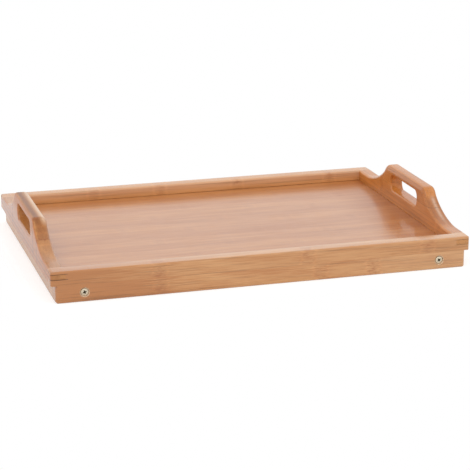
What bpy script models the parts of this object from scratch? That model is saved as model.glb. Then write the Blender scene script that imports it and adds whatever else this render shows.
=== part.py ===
"""Bamboo bed tray with two folding leg frames, legs folded under the panel.

The origin is the centre of the footprint on the surface that the tray stands on. X runs along the tray's
length, from the left end board to the right one, Y runs from the front rail to the rear one, and Z is up.
Units are metres.
"""

import math

import bmesh
import bpy
from mathutils import Matrix, Vector

# Overall size
tray_length = 0.500
tray_depth = 0.347
lower_height = 0.0204
upper_height = 0.0165

# Clearances
glue_gap = 0.0003
running_gap = 0.0003
cut_overrun = 0.004
weld_distance = 0.000001

# Upper frame: two rails and two end boards
rail_thickness = 0.0184
board_thickness = 0.017
finger_rise = 0.0071
finger_height = 0.0062
frame_corner_radius = 0.0033
rail_outer_radius = 0.002
rail_inner_radius = 0.0025

# Outline of the end boards above the rails
grip_top = 0.0694
grip_half_flat = 0.056
handle_forward = 0.003
shoulder_radius = 0.012
shoulder_angle = math.radians(56.5)
flank_start = 0.1324
flank_foot_pull = 0.0277
flank_shoulder_pull = 0.0141
grip_outer_radius = 0.0033
grip_inner_radius = 0.0064

# Hand hole through each end board
hole_half_length = 0.0434
hole_bottom = 0.0405
hole_top = 0.0600
hole_corner_radius = 0.0075
hole_edge_radius = 0.0025

# Tray panel
panel_thickness = 0.0033
panel_let_in = 0.005

# Lower frame: two rails and two end strips, set back under the end boards
lower_rail_thickness = 0.0184
lower_setback = 0.0052
strip_thickness = 0.014
lower_edge_radius = 0.0015
lower_corner_radius = 0.004

# Leg frames
pivot_inset = 0.038
leg_clearance_above = 0.0018
leg_clearance_below = 0.0029
leg_thickness = 0.012
folded_feet_gap = 0.024
leg_edge_radius = 0.0012
heel_corner_radius = 0.0008
leg_splay = math.radians(15)
bar_inset = 0.040
bar_width = 0.022
bar_thickness = 0.010
bar_edge_radius = 0.003
tenon_width = 0.014
tenon_thickness = 0.006
tenon_length = 0.008

# Pivot screws, washers and nuts
shank_radius = 0.0025
head_radius = 0.0041
head_height = 0.0024
head_sink = 0.0003
head_dome = 0.0009
counterbore_radius = 0.0054
recess_span = 0.0023
recess_half_width = 0.0006
recess_depth = 0.0017
recess_tip_share = 0.55
screw_tip_length = 0.001
screw_tip_chamfer = 0.0006
spacer_radius = 0.007
spacer_thickness = 0.0016
small_washer_radius = 0.005
small_washer_thickness = 0.001
nut_half_flats = 0.004
nut_height = 0.0034
nut_collar_radius = 0.0034
nut_collar_height = 0.0016

# Counts of facets
arc_steps = 4
flank_steps = 14
corner_steps = 5
shaft_sides = 24
head_sides = 32

# Heights and reaches that follow from the sizes above
frame_top = lower_height + upper_height
upper_bottom = lower_height + glue_gap
panel_bottom = lower_height + glue_gap
panel_top = panel_bottom + panel_thickness
recess_ceiling = panel_top + glue_gap
finger_bottom = lower_height + finger_rise
finger_top = finger_bottom + finger_height
half_length = tray_length / 2
half_depth = tray_depth / 2
rail_inner = half_depth - rail_thickness
board_inner = half_length - board_thickness
lower_half_length = half_length - lower_setback
lower_rail_inner = half_depth - lower_rail_thickness
leg_half_width = (panel_bottom - leg_clearance_above - leg_clearance_below) / 2
pivot_height = leg_clearance_below + leg_half_width
pivot_x = half_length - pivot_inset
leg_length = pivot_x - folded_feet_gap / 2

# Distances of the pivot stack from the tray's middle plane, outside to inside
screw_seat = half_depth - head_sink - head_height
counterbore_floor = screw_seat - glue_gap
spacer_outer = lower_rail_inner - running_gap
spacer_inner = spacer_outer - spacer_thickness
leg_outer = spacer_inner - running_gap
leg_inner = leg_outer - leg_thickness
small_washer_outer = leg_inner - running_gap
small_washer_inner = small_washer_outer - small_washer_thickness
nut_outer = small_washer_inner - running_gap
nut_inner = nut_outer - nut_height - nut_collar_height
screw_tip = nut_inner - screw_tip_length

# Finishes: colour, roughness and metallic value
rail_bamboo = ((0.578, 0.301, 0.156), 0.35, 0.0)
board_bamboo = ((0.540, 0.275, 0.140), 0.35, 0.0)
panel_bamboo = ((0.600, 0.330, 0.180), 0.30, 0.0)
leg_bamboo = ((0.560, 0.300, 0.150), 0.40, 0.0)
nickel_steel = ((0.620, 0.600, 0.560), 0.30, 1.0)
zinc_steel = ((0.550, 0.550, 0.560), 0.35, 1.0)
black_fibre = ((0.030, 0.030, 0.030), 0.60, 0.0)


def material(name, finish):
    """A Principled material with the finish's colour, roughness and metallic value."""
    colour, roughness, metallic = finish
    made = bpy.data.materials.get(name)
    if made:
        return made
    made = bpy.data.materials.new(name)
    made.use_nodes = True
    shader = made.node_tree.nodes["Principled BSDF"]
    shader.inputs["Base Color"].default_value = (*colour, 1.0)
    shader.inputs["Roughness"].default_value = roughness
    shader.inputs["Metallic"].default_value = metallic
    made.diffuse_color = (*colour, 1.0)
    return made


def add_object(name, mesh, finish=None, parent=None):
    """Puts a mesh into the scene as an object at the origin, or at its parent's origin."""
    made = bpy.data.objects.new(name, mesh)
    bpy.context.scene.collection.objects.link(made)
    if finish:
        mesh.materials.append(material(name, finish))
    made.parent = parent
    return made


def finished_mesh(name, bm):
    """Closes a bmesh: doubles merged, faces turned outwards."""
    bmesh.ops.remove_doubles(bm, verts=bm.verts, dist=weld_distance)
    bmesh.ops.dissolve_degenerate(bm, edges=bm.edges, dist=weld_distance)
    bmesh.ops.recalc_face_normals(bm, faces=bm.faces)
    mesh = bpy.data.meshes.new(name)
    bm.to_mesh(mesh)
    bm.free()
    return mesh


def shade_round(made, sharp_angle=math.radians(35)):
    """Smooth shading, with creases sharper than the angle kept."""
    made.data.shade_smooth()
    made.data.set_sharp_from_angle(angle=sharp_angle)


def loft(bm, sections):
    """Joins closed sections of equal point counts with quads and returns their vertices."""
    rings = [[bm.verts.new(point) for point in section] for section in sections]
    for ring, following in zip(rings, rings[1:]):
        for i in range(len(ring)):
            j = (i + 1) % len(ring)
            bm.faces.new((ring[i], ring[j], following[j], following[i]))
    return rings


def lofted_mesh(name, sections):
    """A solid through closed sections, with flat ends."""
    bm = bmesh.new()
    rings = loft(bm, sections)
    bm.faces.new(rings[0])
    bm.faces.new(rings[-1])
    return finished_mesh(name, bm)


def fill_between(bm, loops):
    """Fills the flat region between an outer loop of vertices and the loops inside it."""
    edges = []
    for loop in loops:
        for i in range(len(loop)):
            pair = (loop[i], loop[(i + 1) % len(loop)])
            edges.append(bm.edges.get(pair) or bm.edges.new(pair))
    bmesh.ops.triangle_fill(bm, edges=edges, use_beauty=True)


def arc(centre, radius, start, end, steps):
    """Points along an arc in a plane, both ends included; angles in radians from the first axis."""
    points = []
    for i in range(steps + 1):
        angle = start + (end - start) * i / steps
        points.append((centre[0] + radius * math.cos(angle), centre[1] + radius * math.sin(angle)))
    return points


def rounded_rectangle(half_width, half_height, radius, steps):
    """Points round a rectangle centred on the origin, its corners rounded."""
    points = []
    for turn, (side_x, side_y) in enumerate(((1, 1), (-1, 1), (-1, -1), (1, -1))):
        centre = (side_x * (half_width - radius), side_y * (half_height - radius))
        start = turn * math.pi / 2
        points += arc(centre, radius, start, start + math.pi / 2, steps)
    return points


def block_mesh(name, low, high):
    """A box between two corners."""
    bm = bmesh.new()
    centre = (Vector(low) + Vector(high)) / 2
    size = Vector(high) - Vector(low)
    placed = Matrix.Translation(centre) @ Matrix.Diagonal(size).to_4x4()
    bmesh.ops.create_cube(bm, size=1.0, matrix=placed)
    return finished_mesh(name, bm)


def turned_mesh(name, profile, sides, side=1):
    """A solid turned about the Y axis from (radius, distance) points; side -1 puts it on the tray's front."""
    bm = bmesh.new()
    rings = []
    for radius, distance in profile:
        if radius == 0:
            rings.append([bm.verts.new((0, side * distance, 0))])
            continue
        ring = []
        for i in range(sides):
            angle = 2 * math.pi * i / sides
            ring.append(bm.verts.new((radius * math.cos(angle), side * distance, radius * math.sin(angle))))
        rings.append(ring)
    closed = profile[0][0] > 0
    pairs = list(zip(rings, rings[1:])) + ([(rings[-1], rings[0])] if closed else [])
    for ring, following in pairs:
        for i in range(sides):
            j = (i + 1) % sides
            if len(ring) == 1:
                bm.faces.new((ring[0], following[j], following[i]))
            elif len(following) == 1:
                bm.faces.new((ring[i], ring[j], following[0]))
            else:
                bm.faces.new((ring[i], ring[j], following[j], following[i]))
    return finished_mesh(name, bm)


def cutter(name, mesh, parent=None):
    """A shape that only cuts, left out of renders."""
    made = add_object(name, mesh, parent=parent)
    made.hide_render = True
    made.display_type = "WIRE"
    return made


def cut(made, tool, operation="DIFFERENCE"):
    """Adds a Boolean that cuts the tool from a piece, or joins it."""
    boolean = made.modifiers.new(tool.name, "BOOLEAN")
    boolean.operation = operation
    boolean.object = tool
    boolean.solver = "EXACT"


def round_over(depth_in, radius):
    """Height lost at a distance in from a rounded edge: the rest of a quarter circle."""
    if depth_in >= radius:
        return 0.0
    reach = radius - max(depth_in, 0.0)
    return radius - math.sqrt(max(radius * radius - reach * reach, 0.0))


def distance_inside(from_end, from_side):
    """Distance in from the upper frame's outline, whose four corners are rounded seen from above."""
    if min(from_end, from_side) < frame_corner_radius and max(from_end, from_side) < frame_corner_radius:
        reach = math.hypot(frame_corner_radius - from_end, frame_corner_radius - from_side)
        return frame_corner_radius - reach
    return min(from_end, from_side)


def rounding_stations(radius):
    """Distances in from a rounded edge at which its arc is sampled."""
    return [radius * (1 - math.sin(math.pi / 2 * i / arc_steps)) for i in range(arc_steps, -1, -1)]


def upper_rail_section(x, side):
    """The rail's section at one X: flat underside, rounded top edges that mitre into those of the end boards.

    Near the end its outer face draws in along the rounded corner of the frame.
    """
    from_end = half_length - abs(x)
    into_corner = abs(x) - board_inner
    outer = half_depth - round_over(from_end, frame_corner_radius)
    points = [(outer, upper_bottom)]
    tops = [outer - reach for reach in rounding_stations(rail_outer_radius)]
    tops += [rail_inner + reach for reach in reversed(rounding_stations(rail_inner_radius))]
    for y in tops:
        inner_loss = round_over(y - rail_inner, rail_inner_radius)
        if into_corner > 0:
            inner_loss = min(inner_loss, round_over(into_corner, rail_inner_radius))
        outer_loss = round_over(distance_inside(from_end, half_depth - y), rail_outer_radius)
        points.append((y, frame_top - max(inner_loss, outer_loss)))
    points.append((rail_inner, upper_bottom))
    return [(x, side * y, z) for y, z in points]


def upper_rail(name, side, recess_cutter):
    """A side of the upper frame, with its corner slots and the recess for the panel."""
    ends = [half_length - reach for reach in rounding_stations(frame_corner_radius)]
    corners = [board_inner + reach for reach in rounding_stations(rail_inner_radius)]
    stations = sorted(set(corners + ends + [board_inner]))
    stations = [-x for x in reversed(stations)] + stations
    mesh = lofted_mesh(name, [upper_rail_section(x, side) for x in stations])
    rail = add_object(name, mesh, rail_bamboo)
    for end, sign in (("left", -1), ("right", 1)):
        reach = sorted((sign * (board_inner - glue_gap), sign * (half_length + cut_overrun)))
        span = sorted((side * (rail_inner - cut_overrun), side * (half_depth + cut_overrun)))
        low = (reach[0], span[0], finger_bottom)
        high = (reach[1], span[1], finger_top)
        cut(rail, cutter(f"{name}_{end}_slot", block_mesh("slot", low, high)))
    cut(rail, recess_cutter)
    shade_round(rail)
    return rail


def end_board_contour():
    """Half of the board's outline, from the foot to the middle, as (y, z, normal y, normal z, share climbed).

    y is the distance from the middle of the handle, which sits a little forward of the tray's middle.
    """
    shoulder = (
        grip_half_flat + shoulder_radius * math.sin(shoulder_angle),
        grip_top - shoulder_radius * (1 - math.cos(shoulder_angle)),
    )
    start = Vector((flank_start, frame_top))
    end = Vector(shoulder)
    pulls = (
        start - Vector((flank_foot_pull, 0)),
        end + flank_shoulder_pull * Vector((math.cos(shoulder_angle), -math.sin(shoulder_angle))),
    )
    points = []
    for i in range(flank_steps + 1):
        t = i / flank_steps
        rest = 1 - t
        place = rest**3 * start + 3 * rest**2 * t * pulls[0] + 3 * rest * t**2 * pulls[1] + t**3 * end
        heading = rest**2 * (pulls[0] - start) + 2 * rest * t * (pulls[1] - pulls[0])
        heading += t**2 * (end - pulls[1])
        heading.normalize()
        climb = (place.y - frame_top) / (grip_top - frame_top)
        points.append((place.x, place.y, heading.y, -heading.x, climb))
    centre = (grip_half_flat, grip_top - shoulder_radius)
    for i in range(1, corner_steps + 1):
        angle = shoulder_angle * (1 - i / corner_steps)
        y = centre[0] + shoulder_radius * math.sin(angle)
        z = centre[1] + shoulder_radius * math.cos(angle)
        climb = (z - frame_top) / (grip_top - frame_top)
        points.append((y, z, math.sin(angle), math.cos(angle), climb))
    return points


def end_board_ring(outward, angle):
    """The board's outline at one step of its edge rounding, from angle 0 on its wall to a right angle.

    The rounding grows up the flank, from the rails' own radii to the grip's. The grip's inner edge is the
    rounder one.
    """
    low_radius = rail_outer_radius if outward else rail_inner_radius
    high_radius = grip_outer_radius if outward else grip_inner_radius
    half = []
    depths = [low_radius * (1 - math.sin(angle))]
    for y, z, normal_y, normal_z, climb in end_board_contour():
        radius = low_radius + (high_radius - low_radius) * climb
        inset = radius * (1 - math.cos(angle))
        half.append((y - inset * normal_y, z - inset * normal_z))
        depths.append(radius * (1 - math.sin(angle)))
    reach = half_depth
    inner = rail_inner - glue_gap
    slot_low = finger_bottom + glue_gap
    slot_high = finger_top - glue_gap
    finger = [(inner, slot_low), (reach, slot_low), (reach, slot_high), (inner, slot_high)]
    foot_top = (inner, frame_top - low_radius * (1 - math.cos(angle)))
    side_points = [(inner, upper_bottom), *finger, foot_top]
    rear = side_points + [(y - handle_forward, z) for y, z in half]
    front = [(-y, z) for y, z in side_points] + [(-y - handle_forward, z) for y, z in half]
    depths = [depths[0]] * len(side_points) + depths[1:]
    outline = rear + front[::-1]
    face = half_length if outward else board_inner
    inwards = -1 if outward else 1
    placed = []
    for (y, z), depth in zip(outline, depths + depths[::-1]):
        placed.append((face + inwards * depth, y, z))
    return placed


def hole_ring(outward, angle):
    """The hand hole's outline at one step of its edge rounding."""
    half_height = (hole_top - hole_bottom) / 2
    middle = (hole_top + hole_bottom) / 2
    flare = hole_edge_radius * (1 - math.cos(angle))
    depth = hole_edge_radius * (1 - math.sin(angle))
    face = half_length if outward else board_inner
    x = face + (-depth if outward else depth)
    widened = (hole_half_length + flare, half_height + flare, hole_corner_radius + flare)
    loop = rounded_rectangle(*widened, corner_steps)
    return [(x, y - handle_forward, middle + z) for y, z in loop]


def corner_cutter(name, end, side):
    """What a rounded upright corner of the upper frame takes away from the finger that ends in it."""
    radius = frame_corner_radius
    points = arc((half_length - radius, half_depth - radius), radius, 0, math.pi / 2, arc_steps)
    points.append((half_length - radius, half_depth + cut_overrun))
    points.append((half_length + cut_overrun, half_depth + cut_overrun))
    points.append((half_length + cut_overrun, half_depth - radius))
    sections = []
    for z in (lower_height - cut_overrun, frame_top + cut_overrun):
        sections.append([(end * x, side * y, z) for x, y in points])
    return cutter(name, lofted_mesh(name, sections))


def end_board(name, side, recess_cutter):
    """A handle board: outline and hand hole lofted through the thickness, faces filled between them."""
    angles = [math.pi / 2 * i / arc_steps for i in range(arc_steps + 1)]
    bm = bmesh.new()
    steps = [(True, angle) for angle in reversed(angles)] + [(False, angle) for angle in angles]
    outer = loft(bm, [end_board_ring(*step) for step in steps])
    inner = loft(bm, [hole_ring(*step) for step in steps])
    fill_between(bm, (outer[0], inner[0]))
    fill_between(bm, (outer[-1], inner[-1]))
    for vert in bm.verts:
        vert.co.x *= side
    board = add_object(name, finished_mesh(name, bm), board_bamboo)
    cut(board, recess_cutter)
    for place, across in (("front", -1), ("rear", 1)):
        cut(board, corner_cutter(f"{name}_{place}_corner", side, across))
    shade_round(board)
    return board


def tray_panel():
    """The thin panel, resting on the lower frame and let into the upper one on all sides."""
    reach_x = board_inner + panel_let_in - glue_gap
    reach_y = rail_inner + panel_let_in - glue_gap
    mesh = block_mesh("tray_panel", (-reach_x, -reach_y, panel_bottom), (reach_x, reach_y, panel_top))
    return add_object("tray_panel", mesh, panel_bamboo)


def panel_recess_cutter():
    """The recess in the upper frame's underside that takes the panel."""
    reach_x = board_inner + panel_let_in
    reach_y = rail_inner + panel_let_in
    low = (-reach_x, -reach_y, upper_bottom - cut_overrun)
    high = (reach_x, reach_y, recess_ceiling)
    return cutter("panel_recess", block_mesh("panel_recess", low, high))


def is_upright(along):
    """Whether an edge's direction is nearer to vertical than to level."""
    return along.z**2 > along.x**2 + along.y**2


def at_distance(place, distance):
    """Whether a coordinate lies that far from the middle, on either side."""
    return abs(abs(place) - distance) < weld_distance


def bevelled_block(name, low, high, rounded):
    """A box with chosen edges rounded; rounded lists (radius, test of an edge's middle and direction)."""
    bm = bmesh.new()
    centre = (Vector(low) + Vector(high)) / 2
    size = Vector(high) - Vector(low)
    placed = Matrix.Translation(centre) @ Matrix.Diagonal(size).to_4x4()
    bmesh.ops.create_cube(bm, size=1.0, matrix=placed)
    for radius, chosen in rounded:
        edges = []
        for edge in bm.edges:
            ends = [vert.co for vert in edge.verts]
            if chosen((ends[0] + ends[1]) / 2, (ends[1] - ends[0]).normalized()):
                edges.append(edge)
        bmesh.ops.bevel(
            bm,
            geom=edges,
            offset=radius,
            offset_type="OFFSET",
            segments=arc_steps,
            profile=0.5,
            affect="EDGES",
        )
    return finished_mesh(name, bm)


def pivot_bore(name, x, side):
    """The stepped hole of one pivot: counterbore for the head, bore for the shank."""
    bore = shank_radius + running_gap
    profile = [
        (0, half_depth + cut_overrun),
        (counterbore_radius, half_depth + cut_overrun),
        (counterbore_radius, counterbore_floor),
        (bore, counterbore_floor),
        (bore, lower_rail_inner - cut_overrun),
        (0, lower_rail_inner - cut_overrun),
    ]
    tool = cutter(name, turned_mesh(name, profile, shaft_sides, side))
    tool.location = (x, 0, pivot_height)
    return tool


def lower_rail(name, side):
    """A side of the lower frame, drilled for its two pivot screws."""
    faces = sorted((side * lower_rail_inner, side * half_depth))
    low = (-lower_half_length, faces[0], 0)
    high = (lower_half_length, faces[1], lower_height)

    def upright_corner(middle, along):
        return is_upright(along) and at_distance(middle.y, half_depth)

    def bottom_edge(middle, along):
        at_face = at_distance(middle.y, half_depth)
        return not is_upright(along) and at_distance(middle.z, 0) and at_face

    rounded = ((lower_corner_radius, upright_corner), (lower_edge_radius, bottom_edge))
    rail = add_object(name, bevelled_block(name, low, high, rounded), rail_bamboo)
    for end, sign in (("left", -1), ("right", 1)):
        cut(rail, pivot_bore(f"{name}_{end}_bore", sign * pivot_x, side))
    shade_round(rail)
    return rail


def end_strip(name, side):
    """The strip that closes one end of the lower frame, between its rails."""
    reach_y = lower_rail_inner - glue_gap
    inner = lower_half_length - strip_thickness
    faces = sorted((side * inner, side * lower_half_length))
    low = (faces[0], -reach_y, 0)
    high = (faces[1], reach_y, lower_height)

    def outer_bottom(middle, along):
        at_end = at_distance(middle.x, lower_half_length)
        return not is_upright(along) and at_distance(middle.z, 0) and at_end

    mesh = bevelled_block(name, low, high, ((lower_edge_radius, outer_bottom),))
    strip = add_object(name, mesh, rail_bamboo)
    shade_round(strip)
    return strip


def leg_outline():
    """The leg seen from the side with its pivot at the origin and its foot towards -X.

    The heel is rounded about the pivot so that it passes under the panel, but its lower corner stays
    square: with the leg swung out and splayed, that corner meets the panel and stops it. The foot is cut to
    stand flat then.
    """
    headroom = panel_bottom - pivot_height
    swing = math.pi / 2 + leg_splay
    reach_up = headroom - running_gap
    heel = (reach_up + leg_half_width * math.cos(swing)) / math.sin(swing)
    heel_angle = math.acos(min(1.0, heel / leg_half_width))
    slant = 2 * leg_half_width * math.tan(leg_splay)
    points = arc((0, 0), leg_half_width, math.pi / 2, heel_angle, 2 * corner_steps)
    corner = (heel - heel_corner_radius, -leg_half_width + heel_corner_radius)
    points += reversed(arc(corner, heel_corner_radius, -math.pi / 2, 0, 2))
    points.append((-leg_length, -leg_half_width))
    points.append((-leg_length + slant, leg_half_width))
    return points


def leg(name, side, parent, mortise, bore):
    """One leg: outline carried through the thickness, edges eased by a Bevel, bore and mortise cut."""
    sections = []
    for distance in (leg_inner, leg_outer):
        sections.append([(x, side * distance, z) for x, z in leg_outline()])
    made = add_object(name, lofted_mesh(name, sections), leg_bamboo, parent)
    eased = made.modifiers.new("eased_edges", "BEVEL")
    eased.width = leg_edge_radius
    eased.segments = 2
    eased.limit_method = "ANGLE"
    eased.angle_limit = math.radians(60)
    cut(made, bore)
    cut(made, mortise)
    shade_round(made)
    return made


def foot_bar_sections(clearance=0.0):
    """Tenon, bar and tenon as closed sections of equal point counts along Y."""
    half_bar = leg_inner - glue_gap
    half_over_tenons = leg_inner + tenon_length
    bar_loop = rounded_rectangle(bar_width / 2, bar_thickness / 2, bar_edge_radius, arc_steps)
    tenon_loop = rounded_rectangle(
        tenon_width / 2 + clearance, tenon_thickness / 2 + clearance, tenon_thickness / 2, arc_steps
    )
    places = (
        (-half_over_tenons - clearance, tenon_loop),
        (-half_bar, tenon_loop),
        (-half_bar, bar_loop),
        (half_bar, bar_loop),
        (half_bar, tenon_loop),
        (half_over_tenons + clearance, tenon_loop),
    )
    middle = -leg_length + bar_inset
    return [[(middle + x, y, z) for x, z in loop] for y, loop in places]


def foot_bar(name, parent):
    """The bar that joins two legs near their feet, with a round-edged tenon at each end."""
    bar = add_object(name, lofted_mesh(name, foot_bar_sections()), leg_bamboo, parent)
    shade_round(bar)
    return bar


def leg_frame(end, turn):
    """Two legs and their foot bar on a pivot axis that runs front to rear; turn faces the frame inwards."""
    pivot = bpy.data.objects.new(f"leg_pivot_{end}", None)
    bpy.context.scene.collection.objects.link(pivot)
    pivot.empty_display_size = leg_half_width
    pivot.location = (pivot_x * (1 if turn == 0 else -1), 0, pivot_height)
    pivot.rotation_euler = (0, 0, turn)
    tenons = foot_bar_sections(running_gap)
    mortise_sections = [tenons[0], tenons[-1]]
    mortise = cutter(f"mortise_{end}", lofted_mesh("mortise", mortise_sections), pivot)
    bore_profile = [
        (0, leg_outer + cut_overrun),
        (shank_radius + running_gap, leg_outer + cut_overrun),
        (shank_radius + running_gap, leg_inner - cut_overrun),
        (0, leg_inner - cut_overrun),
    ]
    for place, side in (("front", -1), ("rear", 1)):
        local_side = side if turn == 0 else -side
        bore_mesh = turned_mesh("leg_bore", bore_profile, shaft_sides, local_side)
        bore = cutter(f"leg_bore_{place}_{end}", bore_mesh, pivot)
        leg(f"leg_{place}_{end}", local_side, pivot, mortise, bore)
    foot_bar(f"foot_bar_{end}", pivot)
    return pivot


def cross_section(span, half_width, distance):
    """A plus-shaped outline, the driver recess at one depth."""
    points = []
    for quarter in range(4):
        turn = Matrix.Rotation(quarter * math.pi / 2, 2)
        for corner in ((span, -half_width), (span, half_width), (half_width, half_width)):
            x, z = turn @ Vector(corner)
            points.append((x, distance, z))
    return points


def pivot_screw(name, x, side, turn):
    """A pan-head screw: domed head with a cross recess, plain shank, chamfered tip."""
    head_face = screw_seat + head_height
    dome = [(0, head_face)]
    for i in range(1, arc_steps + 1):
        angle = math.pi / 2 * i / arc_steps
        dome.append((head_radius * math.sin(angle), head_face - head_dome * (1 - math.cos(angle))))
    profile = dome + [
        (head_radius, screw_seat),
        (shank_radius, screw_seat),
        (shank_radius, screw_tip + screw_tip_chamfer),
        (shank_radius - screw_tip_chamfer, screw_tip),
        (0, screw_tip),
    ]
    screw = add_object(name, turned_mesh(name, profile, head_sides, side), nickel_steel)
    screw.location = (x, 0, pivot_height)
    deep = recess_tip_share
    sections = (
        cross_section(recess_span, recess_half_width, side * (head_face + cut_overrun)),
        cross_section(recess_span, recess_half_width, side * head_face),
        cross_section(recess_span * deep, recess_half_width * deep, side * (head_face - recess_depth)),
    )
    recess = cutter(f"{name}_recess", lofted_mesh("recess", sections), screw)
    recess.rotation_euler = (0, turn, 0)
    cut(screw, recess)
    shade_round(screw)
    return screw


def ring(name, x, side, radius, outer, inner, finish):
    """A flat washer on the screw between two distances from the tray's middle plane."""
    bore = shank_radius + running_gap
    profile = [(bore, outer), (radius, outer), (radius, inner), (bore, inner)]
    washer = add_object(name, turned_mesh(name, profile, shaft_sides, side), finish)
    washer.location = (x, 0, pivot_height)
    shade_round(washer)
    return washer


def lock_nut(name, x, side):
    """A hexagon nut with the round collar of its locking insert, bored through."""
    across_corners = nut_half_flats / math.cos(math.pi / 6)
    collar_base = nut_outer - nut_height
    angles = [math.pi / 3 * i for i in range(6)]
    corners = [(across_corners * math.cos(angle), across_corners * math.sin(angle)) for angle in angles]
    sections = []
    for distance in (nut_outer, collar_base):
        sections.append([(x_out, side * distance, z_up) for x_out, z_up in corners])
    nut = add_object(name, lofted_mesh(name, sections), zinc_steel)
    nut.location = (x, 0, pivot_height)
    crown = nut_collar_height / 2
    collar_profile = [
        (0, collar_base + crown),
        (nut_collar_radius, collar_base + crown),
        (nut_collar_radius, nut_inner + crown),
        (nut_collar_radius - crown / 2, nut_inner),
        (0, nut_inner),
    ]
    collar = cutter(f"{name}_collar", turned_mesh("collar", collar_profile, shaft_sides, side), nut)
    cut(nut, collar, "UNION")
    bore_profile = [
        (0, nut_outer + cut_overrun),
        (shank_radius + running_gap, nut_outer + cut_overrun),
        (shank_radius + running_gap, nut_inner - cut_overrun),
        (0, nut_inner - cut_overrun),
    ]
    bore = cutter(f"{name}_bore", turned_mesh("nut_bore", bore_profile, shaft_sides, side), nut)
    cut(nut, bore)
    shade_round(nut)
    return nut


def pivot_hardware():
    """Screw, spacer, small washer and nut at each of the four pivots."""
    driver_turns = {"front_left": 20, "front_right": 40, "rear_left": 65, "rear_right": 10}
    for place, side in (("front", -1), ("rear", 1)):
        for end, sign in (("left", -1), ("right", 1)):
            where = f"{place}_{end}"
            x = sign * pivot_x
            pivot_screw(f"pivot_screw_{where}", x, side, math.radians(driver_turns[where]))
            ring(f"spacer_washer_{where}", x, side, spacer_radius, spacer_outer, spacer_inner, black_fibre)
            ring(
                f"nut_washer_{where}",
                x,
                side,
                small_washer_radius,
                small_washer_outer,
                small_washer_inner,
                zinc_steel,
            )
            lock_nut(f"lock_nut_{where}", x, side)


def main():
    for old in list(bpy.data.objects):
        bpy.data.objects.remove(old, do_unlink=True)
    recess_cutter = panel_recess_cutter()
    upper_rail("upper_rail_front", -1, recess_cutter)
    upper_rail("upper_rail_rear", 1, recess_cutter)
    end_board("end_board_left", -1, recess_cutter)
    end_board("end_board_right", 1, recess_cutter)
    tray_panel()
    lower_rail("lower_rail_front", -1)
    lower_rail("lower_rail_rear", 1)
    end_strip("end_strip_left", -1)
    end_strip("end_strip_right", 1)
    leg_frame("right", 0)
    leg_frame("left", math.pi)
    pivot_hardware()


main()
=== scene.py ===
"""Looks of the bamboo bed tray: finely rounded pieces, lacquered bamboo, metal fittings, light and camera.

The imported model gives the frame. Each wooden piece and fitting is drawn again with closer curves at the
same place, rides on the same body and stands for its CAD node. Lengths are in metres: X runs left to right
along the tray, Y front to rear and Z up. Mirrored pieces share one shape: side is -1 for the front or left
one of a pair and 1 for the rear or right one, and end is -1 at the tray's left end and 1 at its right.
"""

import logging
import math
from collections.abc import Mapping, Sequence
from dataclasses import dataclass, field, replace
from enum import Enum

import bmesh
import bpy
import numpy as np
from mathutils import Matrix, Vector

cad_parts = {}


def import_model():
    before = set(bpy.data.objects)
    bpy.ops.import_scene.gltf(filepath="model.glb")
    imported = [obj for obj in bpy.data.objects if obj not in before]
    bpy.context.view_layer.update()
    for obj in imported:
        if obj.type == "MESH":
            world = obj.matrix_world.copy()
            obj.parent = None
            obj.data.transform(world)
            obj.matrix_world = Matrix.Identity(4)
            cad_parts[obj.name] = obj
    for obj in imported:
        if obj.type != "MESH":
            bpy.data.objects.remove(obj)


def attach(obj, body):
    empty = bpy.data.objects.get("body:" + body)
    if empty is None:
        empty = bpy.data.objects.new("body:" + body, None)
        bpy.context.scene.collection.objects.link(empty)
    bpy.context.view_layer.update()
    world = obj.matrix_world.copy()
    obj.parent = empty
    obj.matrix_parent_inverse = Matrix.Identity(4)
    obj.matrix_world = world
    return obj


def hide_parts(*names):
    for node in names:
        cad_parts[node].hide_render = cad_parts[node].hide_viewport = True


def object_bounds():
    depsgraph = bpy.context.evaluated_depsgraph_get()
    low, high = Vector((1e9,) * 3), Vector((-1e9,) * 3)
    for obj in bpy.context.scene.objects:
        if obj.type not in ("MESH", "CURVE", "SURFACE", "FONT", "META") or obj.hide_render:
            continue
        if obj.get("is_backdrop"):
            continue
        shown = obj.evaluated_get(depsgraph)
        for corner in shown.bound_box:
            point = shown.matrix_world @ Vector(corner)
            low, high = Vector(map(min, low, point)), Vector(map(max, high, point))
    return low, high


log = logging.getLogger("bed_tray")

Triple = tuple[float, float, float]
Colour = Triple
Array = np.ndarray
Mesh = bpy.types.Mesh
Socket = bpy.types.NodeSocket
Value = Socket | float
Sockets = Mapping[int | str, Socket]
Inputs = Mapping[int | str, object]
Groups = dict[str, bpy.types.NodeTree]

GAP = 0.0003
"""Clearance between glued or touching pieces."""
MERGED = 2e-6
"""Points nearer to each other than this become one."""
BEYOND = 0.004
"""How far a cutting shape stands out of what it cuts."""
HAIR = 0.0001
"""A step too small to show, which keeps two surfaces from lying in one plane."""
ROUND = 64
"""Columns round a turned piece."""
EASING_STEPS = 4
"""Steps in an eased edge."""
EASED_FROM = math.radians(60)
"""The angle between faces above which an edge is eased."""
QUARTER = math.pi / 2
"""A right angle."""


class Grain(Enum):
    """The axes along the bamboo strips of a piece, across them and through their layers."""

    RAIL = ("X", "Z", "Y")
    BOARD = ("Y", "Z", "X")
    PANEL = ("X", "Y", "Z")
    BAR = ("Y", "X", "Z")


class Shading(Enum):
    """The crease angle above which an edge stays sharp, in degrees."""

    WOOD = 32.0
    METAL = 28.0


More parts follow.
